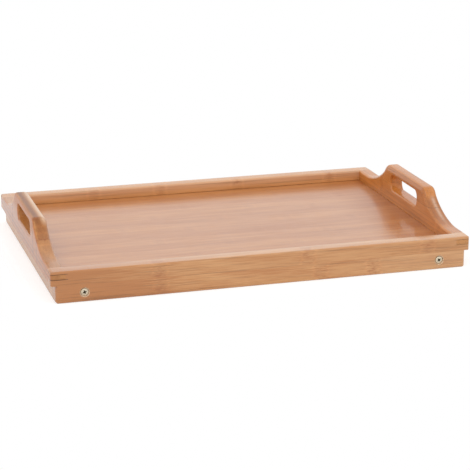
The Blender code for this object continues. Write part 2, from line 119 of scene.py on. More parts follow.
@dataclass(frozen=True)
class TraySizes:
    """The sizes that the sub-assemblies share."""

    half_length: float = 0.250
    half_depth: float = 0.1735
    lower_height: float = 0.0204
    frame_top: float = 0.0369
    rail_thickness: float = 0.0184
    board_thickness: float = 0.017
    panel_thickness: float = 0.0033
    panel_let_in: float = 0.005
    lower_setback: float = 0.0052
    finger_bottom: float = 0.0275
    finger_top: float = 0.0337
    corner_radius: float = 0.0033
    outer_radius: float = 0.002
    inner_radius: float = 0.0025
    pivot_inset: float = 0.038
    pivot_height: float = 0.0109
    shank_radius: float = 0.0025
    bore_radius: float = 0.0028
    glue_line: float = 0.00004

    @property
    def upper_bottom(self) -> float:
        """Height of the panel's underside, and of the upper frame's."""
        return self.lower_height + GAP

    @property
    def upper_foot(self) -> float:
        """Height of the upper frame's underside with the glue line between the frames all but closed."""
        return self.lower_height + self.glue_line

    @property
    def recess_top(self) -> float:
        """Height of the recess that the panel lies in, just over the panel's surface."""
        return self.lower_height + GAP + self.panel_thickness + GAP

    @property
    def rail_inner(self) -> float:
        """Distance of the rails' inner faces from the middle plane."""
        return self.half_depth - self.rail_thickness

    @property
    def board_inner(self) -> float:
        """Distance of the end boards' inner faces from the middle."""
        return self.half_length - self.board_thickness

    @property
    def lower_half_length(self) -> float:
        """Distance of the lower frame's ends from the middle."""
        return self.half_length - self.lower_setback

    @property
    def pivot_x(self) -> float:
        """Distance of the pivots from the middle."""
        return self.half_length - self.pivot_inset


def placed(name: str, data: bpy.types.ID) -> bpy.types.Object:
    """Makes an object and puts it into the scene.

    Args:
        name: The object's name.
        data: Its mesh, lamp or camera.

    Returns:
        The object.
    """
    made = bpy.data.objects.new(name, data)
    bpy.context.scene.collection.objects.link(made)
    return made


def smoothed(mesh: Mesh, shading: Shading) -> Mesh:
    """Shades a mesh smooth but for its creases.

    Args:
        mesh: The mesh.
        shading: The crease angle.

    Returns:
        The same mesh.
    """
    mesh.shade_smooth()
    mesh.set_sharp_from_angle(angle=math.radians(shading.value))
    return mesh


class Surface:
    """Vertices and faces of one piece, gathered from grids and flat caps."""

    def __init__(self) -> None:
        """Starts with nothing."""
        self.blocks: list[Array] = []
        self.faces: list[list[int]] = []
        self.holed: list[tuple[Array, Array]] = []
        self.count = 0

    def grid(self, points: Array, closed: bool = True) -> Array:
        """Adds a grid of points joined by quads.

        Quad (r, c) has the corners (r, c), (r, c + 1), (r + 1, c + 1) and (r + 1, c).

        Args:
            points: Rows by columns by three coordinates.
            closed: Whether the last column joins the first.

        Returns:
            The vertex numbers, rows by columns.
        """
        rows, columns = points.shape[:2]
        index = np.arange(rows * columns).reshape(rows, columns) + self.count
        here, across = index, np.roll(index, -1, axis=1)
        if not closed:
            here, across = here[:, :-1], across[:, :-1]
        quads = np.stack([here[:-1], across[:-1], across[1:], here[1:]], axis=-1)
        self.faces += quads.reshape(-1, 4).tolist()
        self.blocks.append(points.reshape(-1, 3))
        self.count += rows * columns
        return index

    def cap(self, ring: Array) -> None:
        """Closes a flat ring of vertex numbers with one face."""
        self.faces.append(ring.tolist())

    def tube(self, points: Array) -> "Surface":
        """Adds a grid closed round its columns and caps both ends of its rows.

        Args:
            points: Rows by columns by three coordinates.

        Returns:
            This surface.
        """
        rings = self.grid(points)
        self.cap(rings[0])
        self.cap(rings[-1])
        return self

    def mesh(self, shading: Shading = Shading.WOOD) -> Mesh:
        """Makes the mesh: holed flats filled, doubles merged, faces outwards, smooth but for its creases.

        Args:
            shading: The crease angle.

        Returns:
            The finished mesh.
        """
        mesh = bpy.data.meshes.new("surface")
        mesh.from_pydata(np.concatenate(self.blocks).tolist(), [], self.faces)
        bm = bmesh.new()
        bm.from_mesh(mesh)
        bm.verts.ensure_lookup_table()
        for pair in self.holed:
            edges = []
            for ring in pair:
                for a, b in zip(ring.tolist(), np.roll(ring, -1).tolist()):
                    ends = (bm.verts[a], bm.verts[b])
                    edges.append(bm.edges.get(ends) or bm.edges.new(ends))
            bmesh.ops.triangle_fill(bm, edges=edges, use_beauty=True)
        bmesh.ops.remove_doubles(bm, verts=bm.verts, dist=MERGED)
        bmesh.ops.dissolve_degenerate(bm, edges=bm.edges, dist=MERGED)
        bmesh.ops.recalc_face_normals(bm, faces=bm.faces)
        bm.to_mesh(mesh)
        bm.free()
        return smoothed(mesh, shading)


def arc_points(centre: Sequence[float], radius: float, start: float, end: float, steps: int) -> Array:
    """Points on an arc: centre + radius * (cos a, sin a), with a going from start to end in equal steps."""
    angles = np.linspace(start, end, steps + 1)
    return np.asarray(centre) + radius * np.stack([np.cos(angles), np.sin(angles)], axis=-1)


def rounded_box_loop(half_width: float, half_height: float, radius: float, steps: int) -> Array:
    """The outline of a rectangle with quarter-circle corners, centred on the origin.

    Args:
        half_width: Half its size along the first axis.
        half_height: Half its size along the second axis.
        radius: The corner radius.
        steps: Steps in each corner.

    Returns:
        Rows of two coordinates, once round.
    """
    corners = []
    for number, (sx, sy) in enumerate(((1, 1), (-1, 1), (-1, -1), (1, -1))):
        centre = (sx * (half_width - radius), sy * (half_height - radius))
        corners.append(arc_points(centre, radius, number * QUARTER, (number + 1) * QUARTER, steps))
    return np.concatenate(corners)


def round_over(depth_in: Array | float, radius: float) -> Array:
    """Height lost at depth d in from an edge rounded by r: r - sqrt(r^2 - (r - d)^2), and none beyond r."""
    reach = radius - np.clip(depth_in, 0.0, radius)
    return radius - np.sqrt(np.maximum(radius**2 - reach**2, 0.0))


def inside_corner(from_end: Array, from_side: Array, radius: float) -> Array:
    """Distance in from a rectangle's outline whose corners are rounded.

    It is the lesser of the two distances, but r - |(r - a, r - b)| within the corner's square.

    Args:
        from_end: Distance from the end, a.
        from_side: Distance from the side, b.
        radius: The corner's radius, r.

    Returns:
        The distance in.
    """
    in_square = np.maximum(from_end, from_side) < radius
    curved = radius - np.hypot(radius - from_end, radius - from_side)
    return np.where(in_square, curved, np.minimum(from_end, from_side))


def edge_stations(radius: float, steps: int) -> Array:
    """Distances in from a rounded edge at which its arc is sampled: r (1 - sin a), from r down to nothing."""
    return radius * (1 - np.sin(np.linspace(0, QUARTER, steps + 1)))


def at_stations(x: Array, points: Sequence[tuple[Array | float, Array | float]]) -> Array:
    """Points (y, z) of a section at every station x, each of the two a number or one for each station."""
    return np.stack([np.stack(np.broadcast_arrays(y, z, x)[:2], axis=-1) for y, z in points], axis=1)


def along_x(x: Array, section: Array, side: int) -> Array:
    """Section points (y, z) put at their stations: (x, side * y, z)."""
    stations = np.broadcast_to(x[:, None], section.shape[:2])
    return np.stack([stations, side * section[..., 0], section[..., 1]], axis=-1)


def along_y(loops: Sequence[Array], distances: Sequence[float]) -> Surface:
    """A closed surface through loops of (x, z), each put at its own distance along Y."""
    return Surface().tube(np.stack([np.insert(loop, 1, y, axis=1) for loop, y in zip(loops, distances)]))


def turned(
    profile: Sequence[tuple[Array | float, float]], place: tuple[float, float], side: int, sides: int = ROUND
) -> Surface:
    """A surface turned about a line along Y: (x, y, z) = place + (r cos a, side * d, r sin a).

    Args:
        profile: Pairs of radius r, a number or one number for each column, and distance d from the tray's
            middle plane.
        place: X and Z of the line.
        side: 1 for the rear of the tray, -1 for the front.
        sides: Number of columns round.

    Returns:
        The surface, closed where the profile ends on the line or meets its own start.
    """
    radius = np.stack([np.broadcast_to(r, sides) for r, _ in profile])
    distance = np.array([d for _, d in profile])[:, None]
    angle = np.linspace(0, 2 * math.pi, sides, endpoint=False)
    x = place[0] + radius * np.cos(angle)
    z = place[1] + radius * np.sin(angle)
    surface = Surface()
    surface.grid(np.stack([x, np.broadcast_to(side * distance, x.shape), z], axis=-1))
    return surface


def carved(mesh: Mesh, tools: Sequence[Mesh], shading: Shading = Shading.WOOD, bevel: float = 0.0) -> Mesh:
    """Eases a mesh's edges where asked, cuts other closed meshes from it and returns the result.

    Args:
        mesh: The mesh to cut.
        tools: The shapes to take away.
        shading: The crease angle of the result.
        bevel: Width of the eased edges, or nothing.

    Returns:
        The cut mesh.
    """
    stock = placed("stock", mesh)
    if bevel:
        eased = stock.modifiers.new("eased", "BEVEL")
        eased.width = bevel
        eased.segments = EASING_STEPS
        eased.limit_method = "ANGLE"
        eased.angle_limit = EASED_FROM
    helpers = [placed("tool", tool) for tool in tools]
    for helper in helpers:
        cut = stock.modifiers.new("cut", "BOOLEAN")
        cut.operation = "DIFFERENCE"
        cut.object = helper
        cut.solver = "EXACT"
    bpy.context.view_layer.update()
    graph = bpy.context.evaluated_depsgraph_get()
    result = bpy.data.meshes.new_from_object(stock.evaluated_get(graph))
    for old in (stock, *helpers):
        bpy.data.objects.remove(old, do_unlink=True)
    return smoothed(result, shading)


class NodeMaker:
    """Short calls for adding linked nodes to a node tree."""

    def __init__(self, tree: bpy.types.NodeTree) -> None:
        """Keeps the tree to build in."""
        self.tree = tree

    def fill(self, sockets: Sockets, values: Inputs) -> None:
        """Links or sets a node's inputs.

        Args:
            sockets: The inputs.
            values: A socket to link or a value to set, by the input's number or name.
        """
        for key, value in values.items():
            if isinstance(value, Socket):
                self.tree.links.new(value, sockets[key])
            else:
                sockets[key].default_value = value

    def node(self, kind: str, inputs: Inputs | None = None, **settings: object) -> Sockets:
        """Adds a node.

        Args:
            kind: The node's type.
            inputs: Sockets or values for its inputs, by number or name.
            settings: Attributes of the node.

        Returns:
            The node's outputs.
        """
        made = self.tree.nodes.new(kind)
        for key, value in settings.items():
            setattr(made, key, value)
        self.fill(made.inputs, inputs or {})
        return made.outputs

    def group(self, tree: bpy.types.NodeTree, inputs: Inputs | None = None) -> Sockets:
        """The outputs of a node group that takes these inputs."""
        return self.node("ShaderNodeGroup", inputs, node_tree=tree)

    def place(self) -> Socket:
        """The place on the object."""
        return self.node("ShaderNodeTexCoord")["Object"]

    def axes(self) -> Sockets:
        """The place's three coordinates."""
        return self.node("ShaderNodeSeparateXYZ", {0: self.place()})

    def math(self, operation: str, a: Value, b: Value = 0.0, c: Value = 0.0) -> Socket:
        """One arithmetic step on numbers or sockets."""
        return self.node("ShaderNodeMath", {0: a, 1: b, 2: c}, operation=operation)[0]

    def times(self, a: Value, b: Value) -> Socket:
        """a b."""
        return self.math("MULTIPLY", a, b)

    def sum(self, a: Socket, b: Value, c: Value) -> Socket:
        """a b + c."""
        return self.math("MULTIPLY_ADD", a, b, c)

    def less(self, a: Value, b: Value) -> Socket:
        """a - b."""
        return self.math("SUBTRACT", a, b)

    def size(self, a: Socket) -> Socket:
        """|a|."""
        return self.math("ABSOLUTE", a)

    def off(self, a: Socket, b: Value) -> Socket:
        """|a - b|."""
        return self.size(self.less(a, b))

    def most(self, a: Socket, b: Value) -> Socket:
        """The greater of a and b."""
        return self.math("MAXIMUM", a, b)

    def from_pivot(self, axes: Sockets, pivot_x: float, height: float) -> Socket:
        """Distance from the nearer pivot's line: sqrt((|x| - pivot x)^2 + (z - height)^2).

        Args:
            axes: The place's three coordinates.
            pivot_x: Distance of the pivots from the middle.
            height: Their height.

        Returns:
            The distance.
        """
        off_x = self.less(self.size(axes["X"]), pivot_x)
        off_z = self.less(axes["Z"], height)
        return self.math("SQRT", self.sum(off_x, off_x, self.times(off_z, off_z)))

    def ramp(
        self, value: Socket, low: float, high: Value, to_low: float = 0.0, to_high: float = 1.0
    ) -> Socket:
        """A smooth step of a value from one range to another."""
        inputs = {0: value, 1: low, 2: high, 3: to_low, 4: to_high}
        return self.node("ShaderNodeMapRange", inputs, interpolation_type="SMOOTHSTEP")[0]

    def noise(self, vector: Socket, scale: float, detail: float = 2.0, roughness: float = 0.5) -> Socket:
        """A value of a three-dimensional noise."""
        inputs = {"Vector": vector, "Scale": scale, "Detail": detail, "Roughness": roughness}
        return self.node("ShaderNodeTexNoise", inputs)[0]

    def fibrous(self, place: Sockets, share: float, *how: float) -> Socket:
        """Noise drawn out along the grain, of (share * along, across, depth)."""
        axes = {0: self.times(place["Along"], share), 1: place["Across"], 2: place["Depth"]}
        return self.noise(self.node("ShaderNodeCombineXYZ", axes)[0], *how)

    def mix(self, share: Socket, a: Socket | Colour, b: Socket | Colour) -> Socket:
        """A mix of two colours by a share."""
        a, b = (value if isinstance(value, Socket) else (*value, 1.0) for value in (a, b))
        return self.node("ShaderNodeMix", {0: share, 6: a, 7: b}, data_type="RGBA")[2]

    def scaled(self, vector: Socket, factor: Socket) -> Socket:
        """A colour or place scaled by a number."""
        return self.node("ShaderNodeVectorMath", {0: vector, "Scale": factor}, operation="SCALE")[0]

    def bump(self, height: Socket, strength: float, distance: float) -> Socket:
        """A normal tilted by a height, in metres where the distance is."""
        return self.node("ShaderNodeBump", {"Height": height, "Strength": strength, "Distance": distance})[0]


class Pattern:
    """A shader node group of numbers. Each kind names its sockets and works out its values."""

    name = ""
    place = {"Along": 0.0, "Across": 0.0, "Depth": 0.0}
    inputs: dict[str, float] = {}
    outputs: tuple[str, ...] = ()
    stepped: Sequence[tuple[Sequence[float], Sequence[float]]] = ()
    """Noise (share along the grain, scale, detail and roughness) and smooth step of what is drawn out."""

    def steps(self, make: NodeMaker, given: Sockets) -> list[Socket]:
        """The smooth steps of fibrous noise, in order."""
        return [make.ramp(make.fibrous(given, *how), *step) for how, step in self.stepped]

    def values(self, make: NodeMaker, given: Sockets) -> Sequence[Socket]:
        """What the group puts out, in the order of its outputs."""
        raise NotImplementedError

    def build(self) -> bpy.types.NodeTree:
        """Builds the group.

        Returns:
            The group.
        """
        group = bpy.data.node_groups.new(self.name, "ShaderNodeTree")
        for label, value in self.inputs.items():
            socket = group.interface.new_socket(label, in_out="INPUT", socket_type="NodeSocketFloat")
            socket.default_value = value
        for label in self.outputs:
            group.interface.new_socket(label, in_out="OUTPUT", socket_type="NodeSocketFloat")
        make = NodeMaker(group)
        out = group.nodes.new("NodeGroupOutput").inputs
        make.fill(out, dict(zip(self.outputs, self.values(make, make.node("NodeGroupInput")))))
        return group


class StripPattern(Pattern):
    """The strips that bamboo board is glued from, with their tones and glue lines.

    Strip number n = floor(across / width) + 3 floor(depth / layer). Its tone is the fractional part of
    0.618 n + seed. Away is |frac(along / spacing + phase + 0.382 n) - 0.5| spacing, the distance from the
    strip's nearest knuckle. Line is 1 on the glue lines between strips, and less between layers.
    """

    name = "bamboo_strips"
    inputs = Pattern.place | {"Strip Width": 0.02, "Layer": 0.006, "Spacing": 0.16, "Phase": 0.0, "Seed": 0.0}
    outputs = ("Tone", "Away", "Line")
    layer_turn, tone_turn, knuckle_turn = 3.0, 0.618, 0.382
    strip_seam, layer_seam, layer_share = 0.0005, 0.0004, 0.45

    def values(self, make: NodeMaker, given: Sockets) -> Sequence[Socket]:
        """Works out the values of the strips.

        Args:
            make: The maker for the group's nodes.
            given: The group's inputs.

        Returns:
            Tone, Away and Line.
        """
        step = make.math("DIVIDE", given["Across"], given["Strip Width"])
        depth_step = make.math("DIVIDE", given["Depth"], given["Layer"])
        number = make.sum(make.math("FLOOR", depth_step), self.layer_turn, make.math("FLOOR", step))
        tone = make.math("FRACT", make.sum(number, self.tone_turn, given["Seed"]))
        shift = make.sum(number, self.knuckle_turn, given["Phase"])
        spans = make.math("DIVIDE", given["Along"], given["Spacing"])
        turn = make.math("FRACT", make.math("ADD", spans, shift))
        away = make.times(make.off(turn, 0.5), given["Spacing"])

        def seam(steps: Socket, size: Socket, reach: float) -> Socket:
            """1 on the whole numbers of steps, fading to 0 within reach of them."""
            within = make.off(make.math("FRACT", steps), 0.5)
            return make.ramp(make.times(make.less(0.5, within), make.size(size)), 0.0, reach, 1.0, 0.0)

        layers = make.times(seam(depth_step, given["Layer"], self.layer_seam), self.layer_share)
        return tone, away, make.most(seam(step, given["Strip Width"], self.strip_seam), layers)


class FibrePattern(Pattern):
    """The fibres of bamboo, noise drawn out along the grain at three widths.

    Shift is how far a fibre's knuckle lies off its neighbours', from noise of (across, depth) alone.
    """

    name = "bamboo_fibres"
    inputs = Pattern.place
    outputs = ("Fine", "Streak", "Cloud", "Shift")
    stepped = (
        ((0.018, 1900.0, 3.0, 0.62), (0.30, 0.72)),
        ((0.022, 560.0, 3.0, 0.6), (0.52, 0.72)),
        ((0.12, 90.0, 3.0, 0.55), (0.3, 0.7)),
    )
    shifts = (0.0, 900.0, 2.0, 0.6), (0.0, 190.0, 1.0)
    near_reach, wide_reach = 0.0045, 0.006

    def values(self, make: NodeMaker, given: Sockets) -> Sequence[Socket]:
        """Works out the values of the fibres.

        Args:
            make: The maker for the group's nodes.
            given: The group's inputs.

        Returns:
            Fine, Streak, Cloud and Shift.
        """
        near, wide = (make.less(make.fibrous(given, *how), 0.5) for how in self.shifts)
        shift = make.sum(near, self.near_reach, make.times(wide, self.wide_reach))
        return *self.steps(make, given), shift


class KnucklePattern(Pattern):
    """A knuckle of the cane, a mottled brown band with frayed fibres and a pale border.

    Band is the greatest of a soft line in the knuckle's middle, a wider patch of short dashes, both faded in
    blotches, and frayed fibres, thin noise that fades out over the reach. Halo is a pale stripe beside it.
    """

    name = "bamboo_knuckle"
    inputs = {"Away": 1.0, **Pattern.place, "Reach": 0.016, "Spread": 0.008, "Middle": 0.6}
    outputs = ("Band", "Halo")
    stepped = (
        ((0.25, 150.0, 2.0, 0.5), (0.38, 0.58, 0.20, 1.0)),
        ((0.16, 900.0, 2.0, 0.6), (0.44, 0.60)),
        ((0.06, 1300.0, 2.0, 0.6), (0.50, 0.68)),
    )
    line_reach, dash_start, frayed, halo_away, halo_reach = 0.0024, 0.0010, 0.5, 0.0085, 0.0030

    def values(self, make: NodeMaker, given: Sockets) -> Sequence[Socket]:
        """Works out the values of the knuckle.

        Args:
            make: The maker for the group's nodes.
            given: The group's inputs.

        Returns:
            Band and Halo.
        """
        away = given["Away"]
        blotches, dashes, fibres = self.steps(make, given)
        middle = make.times(make.ramp(away, 0.0, self.line_reach, 1.0, 0.0), given["Middle"])
        patch = make.times(make.ramp(away, self.dash_start, given["Spread"], 1.0, 0.0), dashes)
        band = make.times(make.most(middle, patch), blotches)
        fading = {0: away, 1: 0.0, 2: given["Reach"], 3: self.frayed, 4: 0.0}
        fade = make.node("ShaderNodeMapRange", fading)[0]
        halo = make.ramp(make.off(away, self.halo_away), 0.0, self.halo_reach, 1.0, 0.0)
        return make.most(band, make.times(fibres, fade)), halo


class JointStain(Pattern):
    """The dark glue lines of the corner joints, where a saw cut runs a little past the board.

    Stain is 1 within half a line's width of either face of the finger, beyond the start along the tray, and
    fades to less than half from the left end to the right one.
    """

    name = "joint_stain"
    inputs = {"Along": 0.0, "Height": 0.0, "Start": 0.23, "Lower": 0.0275, "Upper": 0.0337, "Width": 0.0012}
    outputs = ("Stain",)
    line_step, upper_share, start_fade, fade_half, right_share = (0.22, 0.5), 0.65, 0.0006, 0.2, 0.3

    def values(self, make: NodeMaker, given: Sockets) -> Sequence[Socket]:
        """Works out the values of the stain.

        Args:
            make: The maker for the group's nodes.
            given: The group's inputs.

        Returns:
            Stain alone.
        """

        def line(height: Socket) -> Socket:
            """1 on a level line, fading over half its width."""
            share = make.math("DIVIDE", make.off(given["Height"], height), given["Width"])
            return make.ramp(share, *self.line_step, 1.0, 0.0)

        inside = make.ramp(make.less(make.size(given["Along"]), given["Start"]), 0.0, self.start_fade)
        lines = make.most(line(given["Lower"]), make.times(line(given["Upper"]), self.upper_share))
        fading = make.ramp(given["Along"], -self.fade_half, self.fade_half, 1.0, self.right_share)
        return (make.times(make.times(lines, inside), fading),)


class HandlingWear(Pattern):
    """Faint smears and fine dust of handling, over wood, metal and fibre alike.

    Smear is a soft step of coarse noise, and Speck one of fine noise.
    """

    name = "handling_wear"
    inputs = {"Scale": 1.0}
    outputs = ("Smear", "Speck")
    noises = ((26.0, 3.0, 0.6), (0.42, 0.68)), ((2600.0, 1.0, 0.5), (0.70, 0.80))
    """Noise (scale, detail and roughness) and smooth step of either."""

    def values(self, make: NodeMaker, given: Sockets) -> Sequence[Socket]:
        """Smear and Speck."""
        where = make.scaled(make.place(), given["Scale"])
        return [make.ramp(make.noise(where, *how), *step) for how, step in self.noises]


@dataclass(frozen=True)
class Finish:
    """What every finish has: the material's name and the record's slot."""

    name: str
    slot: str

    def surface(self, make: NodeMaker, groups: Groups) -> dict[str, object]:
        """Sockets and values for the shader's inputs, by name."""
        raise NotImplementedError

    def build(self, groups: Groups) -> bpy.types.Material:
        """Builds the material.

        Args:
            groups: The shared node groups by name.

        Returns:
            The material.
        """
        material = bpy.data.materials.new(self.name)
        material.use_nodes = True
        make = NodeMaker(material.node_tree)
        shader = material.node_tree.nodes["Principled BSDF"]
        make.fill(shader.inputs, self.surface(make, groups))
        return material


@dataclass(frozen=True)
class Stripe:
    """A stripe of another colour down a board or rail, between two places along it and two heights. Some are
    tones of the bamboo, some painted highlights and painted shade down rounded edges and flanks.
    """

    middle: float
    reach: float
    strength: float
    colour: Colour
    along: tuple[float, float]
    heights: tuple[float, float]
    axes: tuple[str, str] = ("X", "Y")
    """The axis across the piece, and the one along it."""
    fade: float = 0.008

    def share(self, make: NodeMaker, axes: Sockets) -> Socket:
        """Strength times a smooth step down from the middle to the reach, faded at the ends of both ranges.

        Args:
            make: The maker for the material's nodes.
            axes: The place's three coordinates.

        Returns:
            The stripe's share of the colour.
        """
        across, along = self.axes
        off = make.off(make.size(axes[across]), self.middle)
        share = make.ramp(off, 0.0, self.reach, self.strength, 0.0)
        for axis, (low, high) in ((along, self.along), ("Z", self.heights)):
            share = make.times(share, make.ramp(axes[axis], low, low + self.fade))
            share = make.times(share, make.ramp(axes[axis], high - self.fade, high, 1.0, 0.0))
        return share


@dataclass(frozen=True)
class BambooFinish(Finish):
    """Lacquered bamboo: its tones, how its strips lie, where its knuckles are and its gloss."""

    grain: Grain
    light: Colour = (0.720, 0.365, 0.145)
    dark: Colour = (0.500, 0.205, 0.065)
    knuckle: Colour = (0.340, 0.105, 0.026)
    strip_width: float = 0.0204
    layer: float = 0.0062
    across_start: float = 0.0
    depth_start: float = 0.0
    spacing: float = 0.164
    phase: float = 0.0
    seed: float = 0.37
    marks: tuple[float, ...] = ()
    """Where along the grain the knuckles are, or nothing for the strips' own."""
    knuckles: float = 0.50
    middles: float = 0.60
    ragged: float = 1.0
    spread: float = 0.008
    fine: float = 0.30
    lines: float = 0.35
    streaks: float = 0.70
    deeper: Triple | None = None
    """Where along the grain the tone starts to deepen, where it is deepest, and by how much."""
    # Stripes of tone, and painted highlights and painted shade.
    stripes: tuple[Stripe, ...] = ()
    finger: Colour | None = None
    """The tone of the board's fingers, where it is another than the board's."""
    bored: tuple[float, float] | None = None
    # Where the pivots' counterbores show bare wood, painted pale to lift the shade inside them: distance from
    # the middle, and height.
    """Where the pivots' counterbores show bare pale wood: distance from the middle, and height."""
    jointed: bool = False
    roughness: float = 0.38
    specular: float = 0.5
    coat: float = 1.0
    handled_coat: float | None = None
    """The coat's weight on the grip, where hands have worn it."""
    coat_loss: Triple | None = None
    """Where along the grain the coat starts to thin, where it is thinnest, and the share lost there."""

    tone_start, strip_tone, cloud_tone = 0.02, 0.34, 0.34
    streak_depth, line_depth, stain_depth, halo_lift = 0.42, 0.60, 0.60, 0.12
    finger_from, finger_share = (0.1540, 0.1556), 0.8
    counterbore, bare_wood = (0.00545, 0.00565), (0.950, 0.740, 0.520)
    grip_heights = (0.040, 0.062)
    smear_rough, fibre_rough, coat_roughness, refraction = 0.05, 0.06, 0.20, 1.45
    line_height, band_height, relief = -0.8, 0.4, (0.14, 0.00012)

    def laid(self, node: str, side: int, face: float, layers: tuple[float, float]) -> "BambooFinish":
        """This finish for one piece, its layers (the first and the others) counted in from its outer face."""
        first, layer = layers
        return replace(self, name=f"{node}_bamboo", depth_start=side * (face - first), layer=-side * layer)

    def surface(self, make: NodeMaker, groups: Groups) -> dict[str, object]:
        """Tone of strips and fibres, knuckles, stripes of tone and of painted highlight and shade,
        counterbores painted pale, glue lines, smears and lacquer.

        Args:
            make: The maker for the material's nodes.
            groups: The shared node groups by name.

        Returns:
            Sockets and values for the shader's inputs.
        """
        axes = make.axes()
        along, across, depth = (axes[axis] for axis in self.grain.value)
        across, depth = make.less(across, self.across_start), make.less(depth, self.depth_start)
        place = {"Along": along, "Across": across, "Depth": depth}
        fibres = make.group(groups["bamboo_fibres"], place)
        shifted = make.sum(fibres["Shift"], self.ragged, along)
        layout = {"Strip Width": self.strip_width, "Layer": self.layer, "Spacing": self.spacing}
        layout |= {**place, "Along": shifted, "Phase": self.phase, "Seed": self.seed}
        strips = make.group(groups["bamboo_strips"], layout)
        away = self.nearest_mark(make, shifted) if self.marks else strips["Away"]
        cane = {**place, "Away": away, "Spread": self.spread, "Middle": self.middles}
        knuckle = make.group(groups["bamboo_knuckle"], cane)
        smear = make.group(groups["handling_wear"])["Smear"]

        tone = make.sum(strips["Tone"], self.strip_tone, self.tone_start)
        tone = make.sum(fibres["Fine"], self.fine, tone)
        tone = make.sum(fibres["Cloud"], self.cloud_tone, tone)
        if self.deeper:
            start, deepest, amount = self.deeper
            tone = make.math("ADD", tone, make.ramp(along, start, deepest, 0.0, amount))
        base = make.mix(tone, self.light, self.dark)
        # Stripes: tones, painted highlights and painted shade.
        for stripe in self.stripes:
            base = make.mix(stripe.share(make, axes), base, stripe.colour)
        if self.finger:
            on_finger = make.ramp(make.size(along), *self.finger_from, 0.0, self.finger_share)
            base = make.mix(on_finger, base, self.finger)
        base = make.mix(make.times(knuckle["Band"], self.knuckles), base, self.knuckle)
        # Counterbores: bare drilled wood, painted pale to lift the shade in the bore.
        if self.bored:
            bare = make.ramp(make.from_pivot(axes, *self.bored), *self.counterbore, 1.0, 0.0)
            base = make.mix(bare, base, self.bare_wood)
        shade = make.times(fibres["Streak"], self.streaks * self.streak_depth)
        shade = make.sum(strips["Line"], self.lines * self.line_depth, shade)
        if self.jointed:
            stain = make.group(groups["joint_stain"], {"Along": axes["X"], "Height": axes["Z"]})["Stain"]
            shade = make.most(shade, make.times(stain, self.stain_depth))
        lifted = make.sum(knuckle["Halo"], self.knuckles * self.halo_lift, make.less(1.0, shade))

        rough = make.sum(smear, self.smear_rough, make.sum(fibres["Fine"], self.fibre_rough, self.roughness))
        height = make.sum(knuckle["Band"], self.band_height, fibres["Fine"])
        height = make.sum(strips["Line"], self.line_height, height)
        return {
            "Base Color": make.scaled(base, lifted),
            "Roughness": rough,
            "Normal": make.bump(height, *self.relief),
            "Coat Weight": self.lacquer(make, axes["Z"], along),
            "Coat Roughness": self.coat_roughness,
            "Specular IOR Level": self.specular,
            "IOR": self.refraction,
        }

    def nearest_mark(self, make: NodeMaker, place: Socket) -> Socket:
        """Distance from the nearest of the marks: the least of |place - mark|.

        Args:
            make: The maker for the material's nodes.
            place: Distance along the grain.

        Returns:
            The distance.
        """
        nearest, *others = (make.off(place, mark) for mark in self.marks)
        for away in others:
            nearest = make.math("MINIMUM", nearest, away)
        return nearest

    def lacquer(self, make: NodeMaker, height: Socket, along: Socket) -> Value:
        """The coat's weight: a smooth step up to the grip's, times one down along the grain.

        Args:
            make: The maker for the material's nodes.
            height: The height.
            along: Distance along the grain.

        Returns:
            The weight, a plain number where it is the same all over.
        """
        coat: Value = self.coat
        if self.handled_coat is not None:
            coat = make.ramp(height, *self.grip_heights, self.coat, self.handled_coat)
        if self.coat_loss:
            start, thinnest, loss = self.coat_loss
            coat = make.times(coat, make.ramp(along, start, thinnest, 1.0, 1.0 - loss))
        return coat


@dataclass(frozen=True)
class MetalFinish(Finish):
    """Plated steel with faint turning marks and smears, and painted shade darkening its driver recess."""

    colour: Colour = (0.76, 0.67, 0.51)
    roughness: float = 0.28
    recess: Triple | None = None
    """The recess's distance from the middle along X, its height, and how far out the head's face is."""

    dulled, grease_colour = 0.72, (0.140, 0.105, 0.060)
    recess_rim, recess_depth = (0.0023, 0.0027), (0.0003, 0.0007)
    smear_scale, grit_noise, relief = 9.0, (3400.0, 2.0, 0.6), (0.06, 0.00003)
    smear_tone, smear_rough, grit_rough, grease_rough = 0.5, 0.12, 0.08, 0.35

    def surface(self, make: NodeMaker, groups: Groups) -> dict[str, object]:
        """Smeared plating with a fine grit, darkened by painted shade and duller in the driver recess.

        Args:
            make: The maker for the material's nodes.
            groups: The shared node groups by name.

        Returns:
            Sockets and values for the shader's inputs.
        """
        smear = make.group(groups["handling_wear"], {"Scale": self.smear_scale})["Smear"]
        grit = make.noise(make.place(), *self.grit_noise)
        dull = tuple(self.dulled * channel for channel in self.colour)
        colour = make.mix(make.times(smear, self.smear_tone), self.colour, dull)
        rough = make.sum(grit, self.grit_rough, make.sum(smear, self.smear_rough, self.roughness))
        # Painted shade darkens the driver recess.
        if self.recess:
            grease = self.grease(make, *self.recess)
            colour = make.mix(grease, colour, self.grease_colour)
            rough = make.sum(grease, self.grease_rough, rough)
        bump = make.bump(grit, *self.relief)
        return {"Base Color": colour, "Roughness": rough, "Normal": bump, "Metallic": 1.0}

    def grease(self, make: NodeMaker, pivot_x: float, height: float, face: float) -> Socket:
        """How dark the recess's painted shade is: a smooth step inwards from its rim times one down from the
        head's face.

        Args:
            make: The maker for the material's nodes.
            pivot_x: Distance of the recess from the tray's middle along X.
            height: Its height.
            face: How far out the head's face is.

        Returns:
            The share of painted shade.
        """
        axes = make.axes()
        away = make.from_pivot(axes, pivot_x, height)
        sunk = make.less(face, make.size(axes["Y"]))
        return make.times(make.ramp(away, *self.recess_rim, 1.0, 0.0), make.ramp(sunk, *self.recess_depth))


